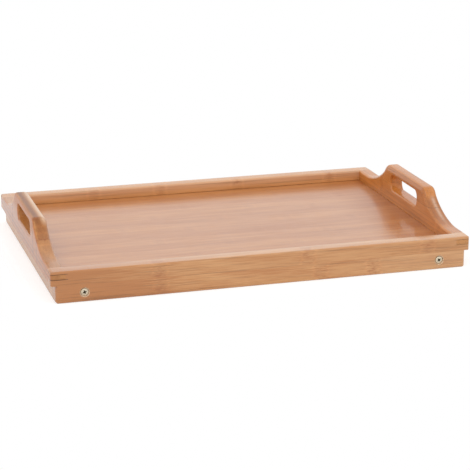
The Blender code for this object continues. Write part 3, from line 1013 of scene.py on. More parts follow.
@dataclass(frozen=True)
class FibreFinish(Finish):
    """Dark pressed fibre, matt and slightly mottled."""

    colour: Colour = (0.030, 0.028, 0.026)
    worn: float = 2.6

    dust_scale, dust_tone, mottle_noise, mottle_step = 6.0, 0.5, (1400.0, 3.0, 0.6), (0.35, 0.75, 0.0, 0.5)
    mottle_rough, roughness, relief = 0.2, 0.55, (0.3, 0.00005)

    def surface(self, make: NodeMaker, groups: Groups) -> dict[str, object]:
        """A mottle of the colour and a paler one, rougher where it is paler, with pale dust.

        Args:
            make: The maker for the material's nodes.
            groups: The shared node groups by name.

        Returns:
            Sockets and values for the shader's inputs.
        """
        speck = make.group(groups["handling_wear"], {"Scale": self.dust_scale})["Speck"]
        mottle = make.noise(make.place(), *self.mottle_noise)
        worn = tuple(self.worn * channel for channel in self.colour)
        share = make.sum(speck, self.dust_tone, make.ramp(mottle, *self.mottle_step))
        return {
            "Base Color": make.mix(share, self.colour, worn),
            "Roughness": make.sum(mottle, self.mottle_rough, self.roughness),
            "Normal": make.bump(mottle, *self.relief),
        }


@dataclass
class UpperRail:
    """A side of the upper frame, its section carried along X and its ends slotted for the boards' fingers."""

    sizes: TraySizes
    steps: int = 8
    middle_stations: int = 9

    def top_height(self, x: Array, y: Array) -> Array:
        """Height of the rail's top over its plan.

        It is the frame's top less the greater of two roundings: the outer one by the distance in from the
        frame's outline, the inner one by the lesser of the distances from the inner faces of rail and board.

        Args:
            x: Distance from the middle along X, one or more.
            y: Distance from the middle along Y, one or more.

        Returns:
            The height.
        """
        s = self.sizes
        at_board = round_over(x - s.board_inner, s.inner_radius)
        at_board = np.where(x > s.board_inner, at_board, s.inner_radius)
        inner_loss = np.minimum(round_over(y - s.rail_inner, s.inner_radius), at_board)
        inside = inside_corner(s.half_length - x, s.half_depth - y, s.corner_radius)
        return s.frame_top - np.maximum(inner_loss, round_over(inside, s.outer_radius))

    def section(self, x: Array, notched: Array) -> tuple[Array, Array]:
        """The two parts of the section over stations x.

        Args:
            x: Distances from the middle, one for each station.
            notched: Whether each station has the recess for the panel.

        Returns:
            Rows of (y, z) points: the outline up to the slot's lower face, and the rest.
        """
        s = self.sizes
        outer = s.half_depth - round_over(s.half_length - x, s.corner_radius)
        outside = s.half_depth - edge_stations(s.outer_radius, self.steps)[::-1]
        inside = s.rail_inner + edge_stations(s.inner_radius, self.steps)
        y_top = np.minimum(np.concatenate([outside, inside])[None, :], outer[:, None])
        top = np.stack([y_top, self.top_height(x[:, None], y_top)], axis=-1)
        let_in = s.rail_inner + s.panel_let_in
        notch = (np.where(notched, let_in, s.rail_inner), np.where(notched, s.recess_top, s.upper_foot))
        low = (
            (s.rail_inner, s.finger_bottom),
            (s.rail_inner, s.recess_top),
            notch,
            (let_in, s.upper_foot),
            (outer, s.upper_foot),
            (outer, s.finger_bottom),
        )
        start = at_stations(x, [(outer, s.finger_top)])
        finish = at_stations(x, [(s.rail_inner, s.finger_top)])
        return at_stations(x, low), np.concatenate([start, top, finish], axis=1)

    def mesh(self, side: int) -> Mesh:
        """The rail: its middle in one, and at each end a prong below and one above the slot.

        Args:
            side: 1 for the rear rail, -1 for the front one.

        Returns:
            The finished mesh.
        """
        s = self.sizes
        surface = Surface()
        middle = np.linspace(-s.board_inner, s.board_inner, self.middle_stations)
        body = np.concatenate(self.section(np.abs(middle), np.full(len(middle), True)), axis=1)
        surface.grid(along_x(middle, body, side))
        mitre = s.board_inner + edge_stations(s.inner_radius, self.steps)
        corner = s.half_length - edge_stations(s.corner_radius, self.steps)
        recess_end = s.board_inner + s.panel_let_in
        x = np.sort(np.concatenate([mitre, corner, [recess_end, recess_end]]))
        notched = x < recess_end
        notched[np.searchsorted(x, recess_end)] = True
        prongs = self.section(x, notched)
        for end in (-1, 1):
            for prong in prongs:
                surface.cap(surface.grid(along_x(end * x, prong, side))[-1])
            wall = [
                [(end * s.board_inner, side * y, z) for y in (s.rail_inner, s.half_depth)]
                for z in (s.finger_bottom, s.finger_top)
            ]
            surface.grid(np.array(wall), closed=False)
        return surface.mesh()


@dataclass
class EndBoard:
    """A handle board: outline and hand hole carried through its thickness, the flat faces filled between."""

    sizes: TraySizes
    grip_top: float = 0.0694
    grip_half_flat: float = 0.056
    handle_forward: float = 0.003
    shoulder_radius: float = 0.012
    shoulder_angle: float = math.radians(56.5)
    flank_start: float = 0.1324
    flank_foot_pull: float = 0.0277
    flank_shoulder_pull: float = 0.0141
    grip_outer_radius: float = 0.0033
    grip_inner_radius: float = 0.0064
    hole_half_length: float = 0.0434
    hole_bottom: float = 0.0405
    hole_top: float = 0.0600
    hole_corner_radius: float = 0.0075
    hole_edge_radius: float = 0.0025
    flank_steps: int = 56
    shoulder_steps: int = 14
    edge_steps: int = 9
    hole_steps: int = 10

    def contour(self) -> Array:
        """Half of the outline above the rails, from the foot to the middle of the grip.

        The flank is a cubic Bezier curve B(t) = (1-t)^3 a + 3(1-t)^2 t b + 3(1-t) t^2 c + t^3 d, and the
        shoulder an arc tangent to it and to the straight grip.

        Returns:
            Rows of y, z, normal y, normal z and how far up the handle the point is.
        """
        foot, lean = self.sizes.frame_top, self.shoulder_angle
        centre = np.array([self.grip_half_flat, self.grip_top - self.shoulder_radius])
        a = np.array([self.flank_start, foot])
        b = a - np.array([self.flank_foot_pull, 0.0])
        d = centre + self.shoulder_radius * np.array([math.sin(lean), math.cos(lean)])
        c = d + self.flank_shoulder_pull * np.array([math.cos(lean), -math.sin(lean)])
        t = np.linspace(0, 1, self.flank_steps + 1)[:, None]
        place = (1 - t) ** 3 * a + 3 * (1 - t) ** 2 * t * b + 3 * (1 - t) * t**2 * c + t**3 * d
        heading = (1 - t) ** 2 * (b - a) + 2 * (1 - t) * t * (c - b) + t**2 * (d - c)
        heading /= np.linalg.norm(heading, axis=1, keepdims=True)
        flank = np.concatenate([place, heading[:, 1:], -heading[:, :1]], axis=1)
        angle = np.linspace(lean, 0, self.shoulder_steps + 1)[1:]
        normal = np.stack([np.sin(angle), np.cos(angle)], axis=-1)
        shoulder = np.concatenate([centre + self.shoulder_radius * normal, normal], axis=1)
        points = np.concatenate([flank, shoulder])
        return np.concatenate([points, (points[:, 1:2] - foot) / (self.grip_top - foot)], axis=1)

    def depth_in(self, depth: Array | float, outward: bool) -> Array | float:
        """Distance from the tray's middle of what lies a depth in from the board's outer or inner face."""
        return self.sizes.half_length - depth if outward else self.sizes.board_inner + depth

    def outline(self, angle: float, outward: bool, foot: float) -> Array:
        """The board's outline at one step of its edge rounding.

        With edge radius r at a point, the outline draws in by r (1 - cos a) along its normal while it comes
        within r (1 - sin a) of the face. r grows up the flank from the rail's radius to the grip's.

        Args:
            angle: a, from 0 on the edge's wall to a right angle on the face.
            outward: Whether this is the face that looks away from the tray.
            foot: Height of the outline's lower side.

        Returns:
            Rows of x (distance from the middle), y and z, once round.
        """
        s = self.sizes
        low, high, corner = s.inner_radius, self.grip_inner_radius, 0.0
        if outward:
            low, high, corner = s.outer_radius, self.grip_outer_radius, s.corner_radius
        rise, draw = 1 - math.sin(angle), 1 - math.cos(angle)
        y, z, normal_y, normal_z, climb = self.contour().T
        radius = low + (high - low) * climb
        handle = np.stack([y - radius * draw * normal_y, z - radius * draw * normal_z, radius], axis=-1)
        inner, reach = s.rail_inner - GAP, s.half_depth - corner * draw
        under, over = s.finger_bottom + GAP, s.finger_top - GAP
        finger = np.array(
            [
                (inner, foot, low),
                (inner, under, low),
                (reach, under, corner),
                (reach, over, corner),
                (inner, over, low),
                (inner, s.frame_top - low * draw, low),
            ]
        )
        forward, mirror = np.array([self.handle_forward, 0.0, 0.0]), np.array([-1.0, 1.0, 1.0])
        halves = [finger, handle - forward, handle[::-1] * mirror - forward, finger[::-1] * mirror]
        loop_y, loop_z, depth = np.concatenate(halves).T
        return np.stack([self.depth_in(depth * rise, outward), loop_y, loop_z], axis=-1)

    def hole(self, angle: float, outward: bool) -> Array:
        """The hand hole's outline at one step of its edge rounding, widening by r (1 - cos a) to the face.

        Args:
            angle: a, from 0 on the hole's wall to a right angle on the face.
            outward: Whether this is the face that looks away from the tray.

        Returns:
            Rows of x, y and z, once round.
        """
        flare = self.hole_edge_radius * (1 - math.cos(angle))
        depth = self.hole_edge_radius * (1 - math.sin(angle))
        half_height = (self.hole_top - self.hole_bottom) / 2 + flare
        corner = self.hole_corner_radius + flare
        loop = rounded_box_loop(self.hole_half_length + flare, half_height, corner, self.hole_steps)
        loop += (-self.handle_forward, (self.hole_top + self.hole_bottom) / 2)
        return np.insert(loop, 0, self.depth_in(depth, outward), axis=1)

    def mesh(self, side: int) -> Mesh:
        """The board, with the recess for the panel along its inner foot.

        Args:
            side: 1 for the right board, -1 for the left one.

        Returns:
            The finished mesh.
        """
        s = self.sizes
        angles = np.linspace(0, QUARTER, self.edge_steps + 1)
        rings = [self.outline(a, True, s.upper_foot) for a in angles[::-1]]
        for foot in (s.upper_foot, s.recess_top):
            step = self.outline(0.0, False, foot)
            step[:, 0] = np.maximum(step[:, 0], s.board_inner + s.panel_let_in)
            rings.append(step)
        rings += [self.outline(a, False, s.recess_top) for a in angles]
        holes = [self.hole(a, True) for a in angles[::-1]] + [self.hole(a, False) for a in angles]
        surface = Surface()
        outer, inner = (surface.grid(np.stack(loops) * (side, 1.0, 1.0)) for loops in (rings, holes))
        surface.holed += [(outer[0], inner[0]), (outer[-1], inner[-1])]
        return surface.mesh()


@dataclass
class LowerFrame:
    """The strips under the upper frame: two rails bored for the pivots and two end strips between them."""

    sizes: TraySizes
    thickness: float = 0.0184
    strip_thickness: float = 0.014
    edge_radius: float = 0.0015
    corner_radius: float = 0.004
    counterbore_radius: float = 0.0054
    counterbore_floor: float = 0.1705
    counterbore_easing: float = 0.0004
    counterbore_lead: float = 0.0003
    steps: int = 8
    strip_stations: int = 5

    def rail(self, side: int) -> Mesh:
        """A rail: (x, y) plan with two rounded outer corners, its lower edge rounded over all round them.

        The underside is at round_over(distance in from the plan's outline).

        Args:
            side: 1 for the rear rail, -1 for the front one.

        Returns:
            The bored rail.
        """
        s = self.sizes
        inner = s.half_depth - self.thickness
        half = s.lower_half_length - edge_stations(self.corner_radius, 2 * self.steps)
        x = np.concatenate([-half[::-1], half])
        from_end = s.lower_half_length - np.abs(x)
        outer = s.half_depth - round_over(from_end, self.corner_radius)
        in_from_face = edge_stations(self.edge_radius, self.steps)[::-1]
        y = np.minimum(s.half_depth - in_from_face[None, :], outer[:, None])
        inside = inside_corner(from_end[:, None], s.half_depth - y, self.corner_radius)
        edge = np.stack([y, round_over(inside, self.edge_radius)], axis=-1)
        end_loss = round_over(from_end, self.edge_radius)
        walls = at_stations(x, [(inner, end_loss), (inner, s.lower_height), (outer, s.lower_height)])
        stock = Surface().tube(along_x(x, np.concatenate([walls, edge], axis=1), side)).mesh()
        return carved(stock, [self.bore(end * s.pivot_x, side) for end in (-1, 1)])

    def bore(self, x: float, side: int) -> Mesh:
        """The stepped hole of a pivot screw, its mouth a little eased, as a shape to cut with.

        Args:
            x: Where the pivot is.
            side: 1 for the rear rail, -1 for the front one.

        Returns:
            The closed shape.
        """
        s = self.sizes
        wide, narrow = self.counterbore_radius, s.bore_radius
        mouth = wide + self.counterbore_easing
        far = s.half_depth - self.thickness - BEYOND
        profile = [
            (0.0, s.half_depth + BEYOND),
            (mouth, s.half_depth + BEYOND),
            (mouth, s.half_depth + HAIR),
            (wide, s.half_depth - self.counterbore_lead),
            (wide, self.counterbore_floor),
            (narrow, self.counterbore_floor),
            (narrow, far),
            (0.0, far),
        ]
        return turned(profile, (x, s.pivot_height), side).mesh()

    def strip(self, side: int) -> Mesh:
        """An end strip: a section with its outer lower edge rounded, carried along Y.

        Args:
            side: 1 for the right strip, -1 for the left one.

        Returns:
            The finished mesh.
        """
        s = self.sizes
        outer, r = s.lower_half_length, self.edge_radius
        inner = outer - self.strip_thickness
        edge = arc_points((outer - r, r), r, -QUARTER, 0.0, self.steps)
        loop = np.concatenate([[[inner, 0.0]], edge, [[outer, s.lower_height], [inner, s.lower_height]]])
        reach = s.half_depth - self.thickness - GAP
        loops = [loop * (side, 1.0)] * self.strip_stations
        return along_y(loops, np.linspace(-reach, reach, self.strip_stations)).mesh()


@dataclass
class LegFrame:
    """Two legs and their foot bar, folded under the panel, on a pivot line that runs front to rear."""

    sizes: TraySizes
    half_width: float = 0.008
    outer: float = 0.1529
    inner: float = 0.1409
    length: float = 0.200
    eased: float = 0.0012
    heel_radius: float = 0.0008
    splay: float = math.radians(15)
    bar_inset: float = 0.040
    bar_half_width: float = 0.011
    bar_half_thickness: float = 0.005
    bar_radius: float = 0.003
    tenon_half_width: float = 0.007
    tenon_half_thickness: float = 0.003
    tenon_length: float = 0.008
    heel_steps: int = 40
    stop_steps: int = 6
    bar_steps: int = 8
    bore_sides: int = 40

    def outline(self) -> Array:
        """The leg from the side, pivot at the origin and foot towards -X.

        The heel is an arc about the pivot that ends where the stop corner begins, and the foot is cut on a
        slant of twice the half width times the tangent of the splay.

        Returns:
            Rows of x and z, once round.
        """
        s, half = self.sizes, self.half_width
        reach_up = s.upper_bottom - s.pivot_height - GAP
        swing = QUARTER + self.splay
        heel = (reach_up + half * math.cos(swing)) / math.sin(swing)
        top = arc_points((0.0, 0.0), half, QUARTER, math.acos(min(1.0, heel / half)), self.heel_steps)
        corner = (heel - self.heel_radius, self.heel_radius - half)
        stop = arc_points(corner, self.heel_radius, -QUARTER, 0.0, self.stop_steps)[::-1]
        foot = [[-self.length, -half], [2 * half * math.tan(self.splay) - self.length, half]]
        return np.concatenate([top, stop, foot])

    def put(self, mesh: Mesh, end: int) -> Mesh:
        """Moves a mesh from the pivot's frame to its place: turned half round for the left frame.

        Args:
            mesh: The mesh about the pivot.
            end: 1 for the right frame, -1 for the left one.

        Returns:
            The same mesh.
        """
        flat = np.empty(len(mesh.vertices) * 3, dtype=np.float32)
        mesh.vertices.foreach_get("co", flat)
        pivot = np.array([end * self.sizes.pivot_x, 0.0, self.sizes.pivot_height])
        points = flat.reshape(-1, 3) * np.array([end, end, 1.0]) + pivot
        mesh.vertices.foreach_set("co", points.astype(np.float32).ravel())
        mesh.update()
        return mesh

    def bar_loop(self, half_width: float, half_thickness: float, radius: float) -> Array:
        """The outline of the bar or of its tenon, in its place on the leg."""
        loop = rounded_box_loop(half_width, half_thickness, radius, self.bar_steps)
        return loop + (self.bar_inset - self.length, 0.0)

    def tenon(self, spare: float = 0.0) -> Array:
        """The tenon's outline, or its mortise's with some to spare."""
        half = self.tenon_half_thickness
        return self.bar_loop(self.tenon_half_width + spare, half + spare, half)

    def leg(self, end: int, side: int) -> Mesh:
        """A leg with eased edges, its pivot bore and the mortise for the bar.

        Args:
            end: 1 for the right frame, -1 for the left one.
            side: 1 for the rear leg, -1 for the front one.

        Returns:
            The finished mesh, in place.
        """
        local = side * end
        stock = along_y([self.outline()] * 2, (local * self.inner, local * self.outer)).mesh()
        near, far, radius = self.inner - BEYOND, self.outer + BEYOND, self.sizes.bore_radius
        profile = [(0.0, far), (radius, far), (radius, near), (0.0, near)]
        bore = turned(profile, (0.0, 0.0), local, self.bore_sides).mesh()
        reach = self.inner + self.tenon_length + GAP
        mortise = along_y([self.tenon(GAP)] * 2, (-reach, reach)).mesh()
        return self.put(carved(stock, [bore, mortise], bevel=self.eased), end)

    def bar(self, end: int) -> Mesh:
        """The foot bar with a tenon at each end.

        Args:
            end: 1 for the right frame, -1 for the left one.

        Returns:
            The finished mesh, in place.
        """
        bar = self.bar_loop(self.bar_half_width, self.bar_half_thickness, self.bar_radius)
        tenon = self.tenon()
        shoulder = self.inner - GAP
        tip = self.inner + self.tenon_length
        loops = (tenon, tenon, bar, bar, tenon, tenon)
        return self.put(along_y(loops, (-tip, -shoulder, -shoulder, shoulder, shoulder, tip)).mesh(), end)


@dataclass
class PivotStack:
    """Screw, spacer washer, small washer and lock nut of one pivot, from the outside in."""

    sizes: TraySizes
    x: float
    side: int
    seat: float = 0.1708
    head_radius: float = 0.0041
    head_height: float = 0.0024
    head_dome: float = 0.0009
    easing: float = 0.0002
    recess_span: float = 0.0023
    recess_half_width: float = 0.0007
    recess_depth: float = 0.0017
    recess_taper: float = 0.55
    pit_radius: float = 0.00135
    pit_floor_radius: float = 0.0005
    pit_depth: float = 0.0019
    cutter_height: float = 0.002
    tip: float = 0.1323
    tip_length: float = 0.0012
    tip_share: float = 0.55
    neck_length: float = 0.001
    dome_steps: int = 12
    rows_per_turn: int = 12
    pit_sides: int = 32
    thread_pitch: float = 0.0008
    thread_depth: float = 0.00035
    thread_end: float = 0.1405
    nut_outer: float = 0.1393
    nut_height: float = 0.0034
    nut_half_flats: float = 0.004
    nut_sides: int = 96
    chamfer_start: float = 0.985
    chamfer_run: float = 0.0004
    chamfer_depths: tuple[float, ...] = (0.0, 0.00012, 0.0003, 0.0005)
    collar_radius: float = 0.0034
    collar_height: float = 0.0016
    collar_easing: tuple[float, float] = (0.0004, 0.0005)
    spacer: tuple[float, ...] = (0.007, 0.1548, 0.1532, 0.0002)
    washer: tuple[float, ...] = (0.005, 0.1406, 0.1396, 0.0001)
    """Of each washer the radius, its outer and inner distance from the middle plane and its rim's easing."""

    @property
    def place(self) -> tuple[float, float]:
        """X and Z of the pivot."""
        return self.x, self.sizes.pivot_height

    @property
    def face(self) -> float:
        """How far out the top of the screw's head is."""
        return self.seat + self.head_height

    def screw(self, turn: float) -> Mesh:
        """A domed pan head with a cross recess, a shank, and a thread cut into its inner end.

        The thread's radius is R - depth |2 frac(d / pitch - a / 2 pi) - 1| at angle a, faded in over a turn.

        Args:
            turn: How far the recess is turned, in radians.

        Returns:
            The finished mesh.
        """
        shank = self.sizes.shank_radius
        lift = np.linspace(0, QUARTER, self.dome_steps + 1)
        dome = zip(self.head_radius * np.sin(lift), self.face - self.head_dome * (1 - np.cos(lift)))
        rim = [(self.head_radius, self.seat + self.easing), (self.head_radius - self.easing, self.seat)]
        neck = [(shank, self.seat), (shank, self.thread_end + self.neck_length)]
        rows = int(self.rows_per_turn * (self.thread_end - self.tip) / self.thread_pitch)
        d = np.linspace(self.thread_end, self.tip + self.easing, rows)[:, None]
        angle = np.linspace(0, 2 * math.pi, ROUND, endpoint=False)
        wave = np.abs(2 * np.mod(d / self.thread_pitch - angle / (2 * math.pi), 1.0) - 1)
        fade = np.clip((self.thread_end - d) / self.thread_pitch, 0, 1)
        taper = np.clip((d - self.tip) / self.tip_length, self.tip_share, 1)
        thread = (shank - self.thread_depth * fade * wave) * taper
        profile = [*dome, *rim, *neck, *zip(thread, d[:, 0]), (0.0, self.tip)]
        screw = turned(profile, self.place, self.side).mesh(Shading.METAL)
        above, floor = self.face + self.cutter_height, self.face - self.pit_depth
        mouth = [(0.0, above), (self.pit_radius, above), (self.pit_radius, self.face - HAIR)]
        bottom = [(self.pit_floor_radius, floor), (0.0, floor)]
        pit = turned([*mouth, *bottom], self.place, self.side, self.pit_sides)
        return carved(screw, [self.recess(turn), pit.mesh(Shading.METAL)], Shading.METAL)

    def recess(self, turn: float) -> Mesh:
        """The cross that the driver fits, narrowing towards its floor, as a shape to cut with.

        Args:
            turn: Its turn about the screw, in radians.

        Returns:
            The closed cutting shape.
        """
        span, half = self.recess_span, self.recess_half_width
        quarter = np.array([[span, -half], [span, half], [half, half]])
        turns = turn + np.arange(4) * QUARTER
        cos, sin = np.cos(turns), np.sin(turns)
        spin = np.stack([cos, -sin, sin, cos], axis=-1).reshape(4, 2, 2)
        loop = np.einsum("tij,pj->tpi", spin, quarter).reshape(-1, 2)
        distances = (self.face + self.cutter_height, self.face, self.face - self.recess_depth)
        loops = [share * loop + self.place for share in (1.0, 1.0, self.recess_taper)]
        return along_y(loops, [self.side * at for at in distances]).mesh(Shading.METAL)

    def ring(self, shape: Sequence[float]) -> Mesh:
        """A washer with eased rims.

        Args:
            shape: Its four sizes.

        Returns:
            The finished mesh.
        """
        radius, outer, inner, bevel = shape
        bore = self.sizes.shank_radius + GAP
        flat = radius - bevel
        rim = [(flat, outer), (radius, outer - bevel), (radius, inner + bevel), (flat, inner)]
        profile = [(bore, outer), *rim, (bore, inner), (bore, outer)]
        return turned(profile, self.place, self.side).mesh(Shading.METAL)

    def nut(self) -> Mesh:
        """A hexagon nut with chamfered corners, and the round collar of its locking insert.

        The hexagon's radius is h / cos(a mod 60 - 30), cut back by the chamfer cone at either end.

        Returns:
            The finished mesh.
        """
        half = self.nut_half_flats
        angle = np.linspace(0, 2 * math.pi, self.nut_sides, endpoint=False)
        hexagon = half / np.cos(np.mod(angle, math.pi / 3) - math.pi / 6)
        depth = np.array(self.chamfer_depths)
        corner = half / math.cos(math.pi / 6)
        cone = half * self.chamfer_start + depth * (corner - half) / self.chamfer_run
        chamfer = [(np.minimum(hexagon, reach), at) for reach, at in zip(cone, depth)]
        bore = self.sizes.shank_radius + GAP
        base = self.nut_outer - self.nut_height
        crown = base - self.collar_height
        profile = [(bore, self.nut_outer)]
        profile += [(radius, self.nut_outer - at) for radius, at in chamfer]
        profile += [(radius, base + at) for radius, at in chamfer[::-1]]
        inward, down = self.collar_easing
        profile += [(self.collar_radius, base - HAIR), (self.collar_radius, crown + down)]
        profile += [(self.collar_radius - inward, crown), (bore, crown), (bore, self.nut_outer)]
        return turned(profile, self.place, self.side, self.nut_sides).mesh(Shading.METAL)


@dataclass
class Studio:
    """Pale floor, soft light all round and the camera of the photograph."""

    eye: Triple = (-0.566391, -1.96767, 0.617788)
    pitch: float = -16.533
    yaw: float = 16.4
    focal_pixels: float = 1729.352
    picture_pixels: int = 470
    sensor: float = 36.0
    floor_half: float = 12.0
    floor_drop: float = 0.0002
    floor_colour: Colour = (0.55, 0.55, 0.55)
    floor_roughness: float = 0.9
    footprint: tuple[float, float] = (0.250, 0.1735)
    shadow_reach: tuple[float, float] = (0.004, 0.040)
    floor_glow: Triple = (0.58, 0.31, 0.25)
    world_glow: Triple = (1.0, 1.0, 0.92)
    lamps: tuple[tuple[Triple, float, float], ...] = (
        ((-1.1, -0.9, 1.7), 1.2, 6.0),
        ((1.3, -0.6, 1.6), 1.2, 3.0),
    )
    """Place, size and power of each lamp."""

    def build(self) -> None:
        """Builds floor, world, lamps and camera."""
        self.floor()
        self.world()
        for number, (place, size, power) in enumerate(self.lamps):
            self.lamp(f"soft_lamp_{number}", place, size, power)
        self.camera()

    def glow(self, make: NodeMaker, strengths: Triple) -> Socket:
        """The greatest strength that fits a ray: seen straight or through glass, mirrored, or any.

        Args:
            make: The maker of the material's nodes.
            strengths: The three strengths, in falling order.

        Returns:
            The strength.
        """
        seen, mirrored, other = strengths
        path = make.node("ShaderNodeLightPath")
        straight = make.times(make.most(path["Is Camera Ray"], path["Is Transmission Ray"]), seen)
        return make.most(make.most(straight, make.times(path["Is Glossy Ray"], mirrored)), other)

    def floor(self) -> None:
        """A wide plain floor that glows towards the camera and takes the tray's shadow.

        It is clear from below, and to the camera beyond the shadow's reach, where it is as white as the world
        behind it. So the legs show when they are folded out and pass below it. How far a place is beyond the
        tray is the greater of |x| - half the tray's length and |y| - half its depth.
        """
        half = self.floor_half
        mesh = bpy.data.meshes.new("floor")
        sheet = [(-half, -half, 0), (half, -half, 0), (half, half, 0), (-half, half, 0)]
        mesh.from_pydata(sheet, [], [(0, 1, 2, 3)])
        floor = placed("floor", mesh)
        floor.location.z = -self.floor_drop
        material = bpy.data.materials.new("floor_paint")
        material.use_nodes = True
        make = NodeMaker(material.node_tree)
        shader = material.node_tree.nodes["Principled BSDF"]
        paint = {
            "Base Color": (*self.floor_colour, 1.0),
            "Roughness": self.floor_roughness,
            "Specular IOR Level": 0.0,
            "Emission Color": (1.0, 1.0, 1.0, 1.0),
            "Emission Strength": self.glow(make, self.floor_glow),
        }
        make.fill(shader.inputs, paint)
        axes = make.axes()
        past = [make.less(make.size(axes[axis]), half) for axis, half in zip(("X", "Y"), self.footprint)]
        beyond = make.ramp(make.most(*past), *self.shadow_reach)
        seen = make.node("ShaderNodeLightPath")["Is Camera Ray"]
        from_below = make.node("ShaderNodeNewGeometry")["Backfacing"]
        share = make.most(from_below, make.times(seen, beyond))
        clear = make.node("ShaderNodeBsdfTransparent")[0]
        mixed = make.node("ShaderNodeMixShader", {0: share, 1: shader.outputs[0], 2: clear})[0]
        make.fill(material.node_tree.nodes["Material Output"].inputs, {"Surface": mixed})
        mesh.materials.append(material)
        floor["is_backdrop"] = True

    def world(self) -> None:
        """White all round: full strength where it is seen, and the light's own strength elsewhere."""
        world = bpy.data.worlds.new("studio")
        bpy.context.scene.world = world
        world.use_nodes = True
        make = NodeMaker(world.node_tree)
        back = world.node_tree.nodes["Background"].inputs
        make.fill(back, {0: (1.0, 1.0, 1.0, 1.0), 1: self.glow(make, self.world_glow)})

    def lamp(self, name: str, place: Triple, size: float, power: float) -> None:
        """A square soft lamp that looks at the tray.

        Args:
            name: The lamp's name.
            place: Where it stands.
            size: Its side.
            power: Its power in watts.
        """
        data = bpy.data.lights.new(name, "AREA")
        data.size = size
        data.energy = power
        lamp = placed(name, data)
        lamp.location = place
        tilt = math.atan2(math.hypot(place[0], place[1]), place[2])
        lamp.rotation_euler = (tilt, 0.0, math.atan2(place[1], place[0]) + QUARTER)

    def camera(self) -> None:
        """The camera at the photograph's own place."""
        data = bpy.data.cameras.new("photo_view")
        data.sensor_fit = "HORIZONTAL"
        data.sensor_width = self.sensor
        data.lens = self.focal_pixels / self.picture_pixels * self.sensor
        data.clip_end = 20.0
        camera = placed("photo_view", data)
        camera.location = self.eye
        camera.rotation_euler = (QUARTER + math.radians(self.pitch), 0.0, -math.radians(self.yaw))
        bpy.context.scene.camera = camera


PAIR = (("front", -1), ("rear", 1))
"""The tray's long sides."""
ENDS = (("left", -1), ("right", 1))
"""The tray's ends."""
RAIL_LOOK = BambooFinish(
    "rail_bamboo",
    "frame_bamboo",
    Grain.RAIL,
    strip_width=0.030,
    knuckle=(0.430, 0.140, 0.038),
    knuckles=0.70,
    middles=0.35,
    ragged=2.2,
    spread=0.017,
    fine=0.50,
)
"""What the upper and lower rails have in common, but for the quieter knuckles of the upper rear one."""
RAIL_LAYERS = (0.003, 0.00613)
"""The thickness of the first layer of bamboo in from the outer face, and of the others."""
BOARD_LAYERS = (0.0028, 0.0057)
"""The same of the end boards."""
STRIP_LAYERS = (0.0035, 0.007)
"""The same of the end strips."""
LEG_LAYERS = (0.003, 0.006)
"""The same of the legs."""


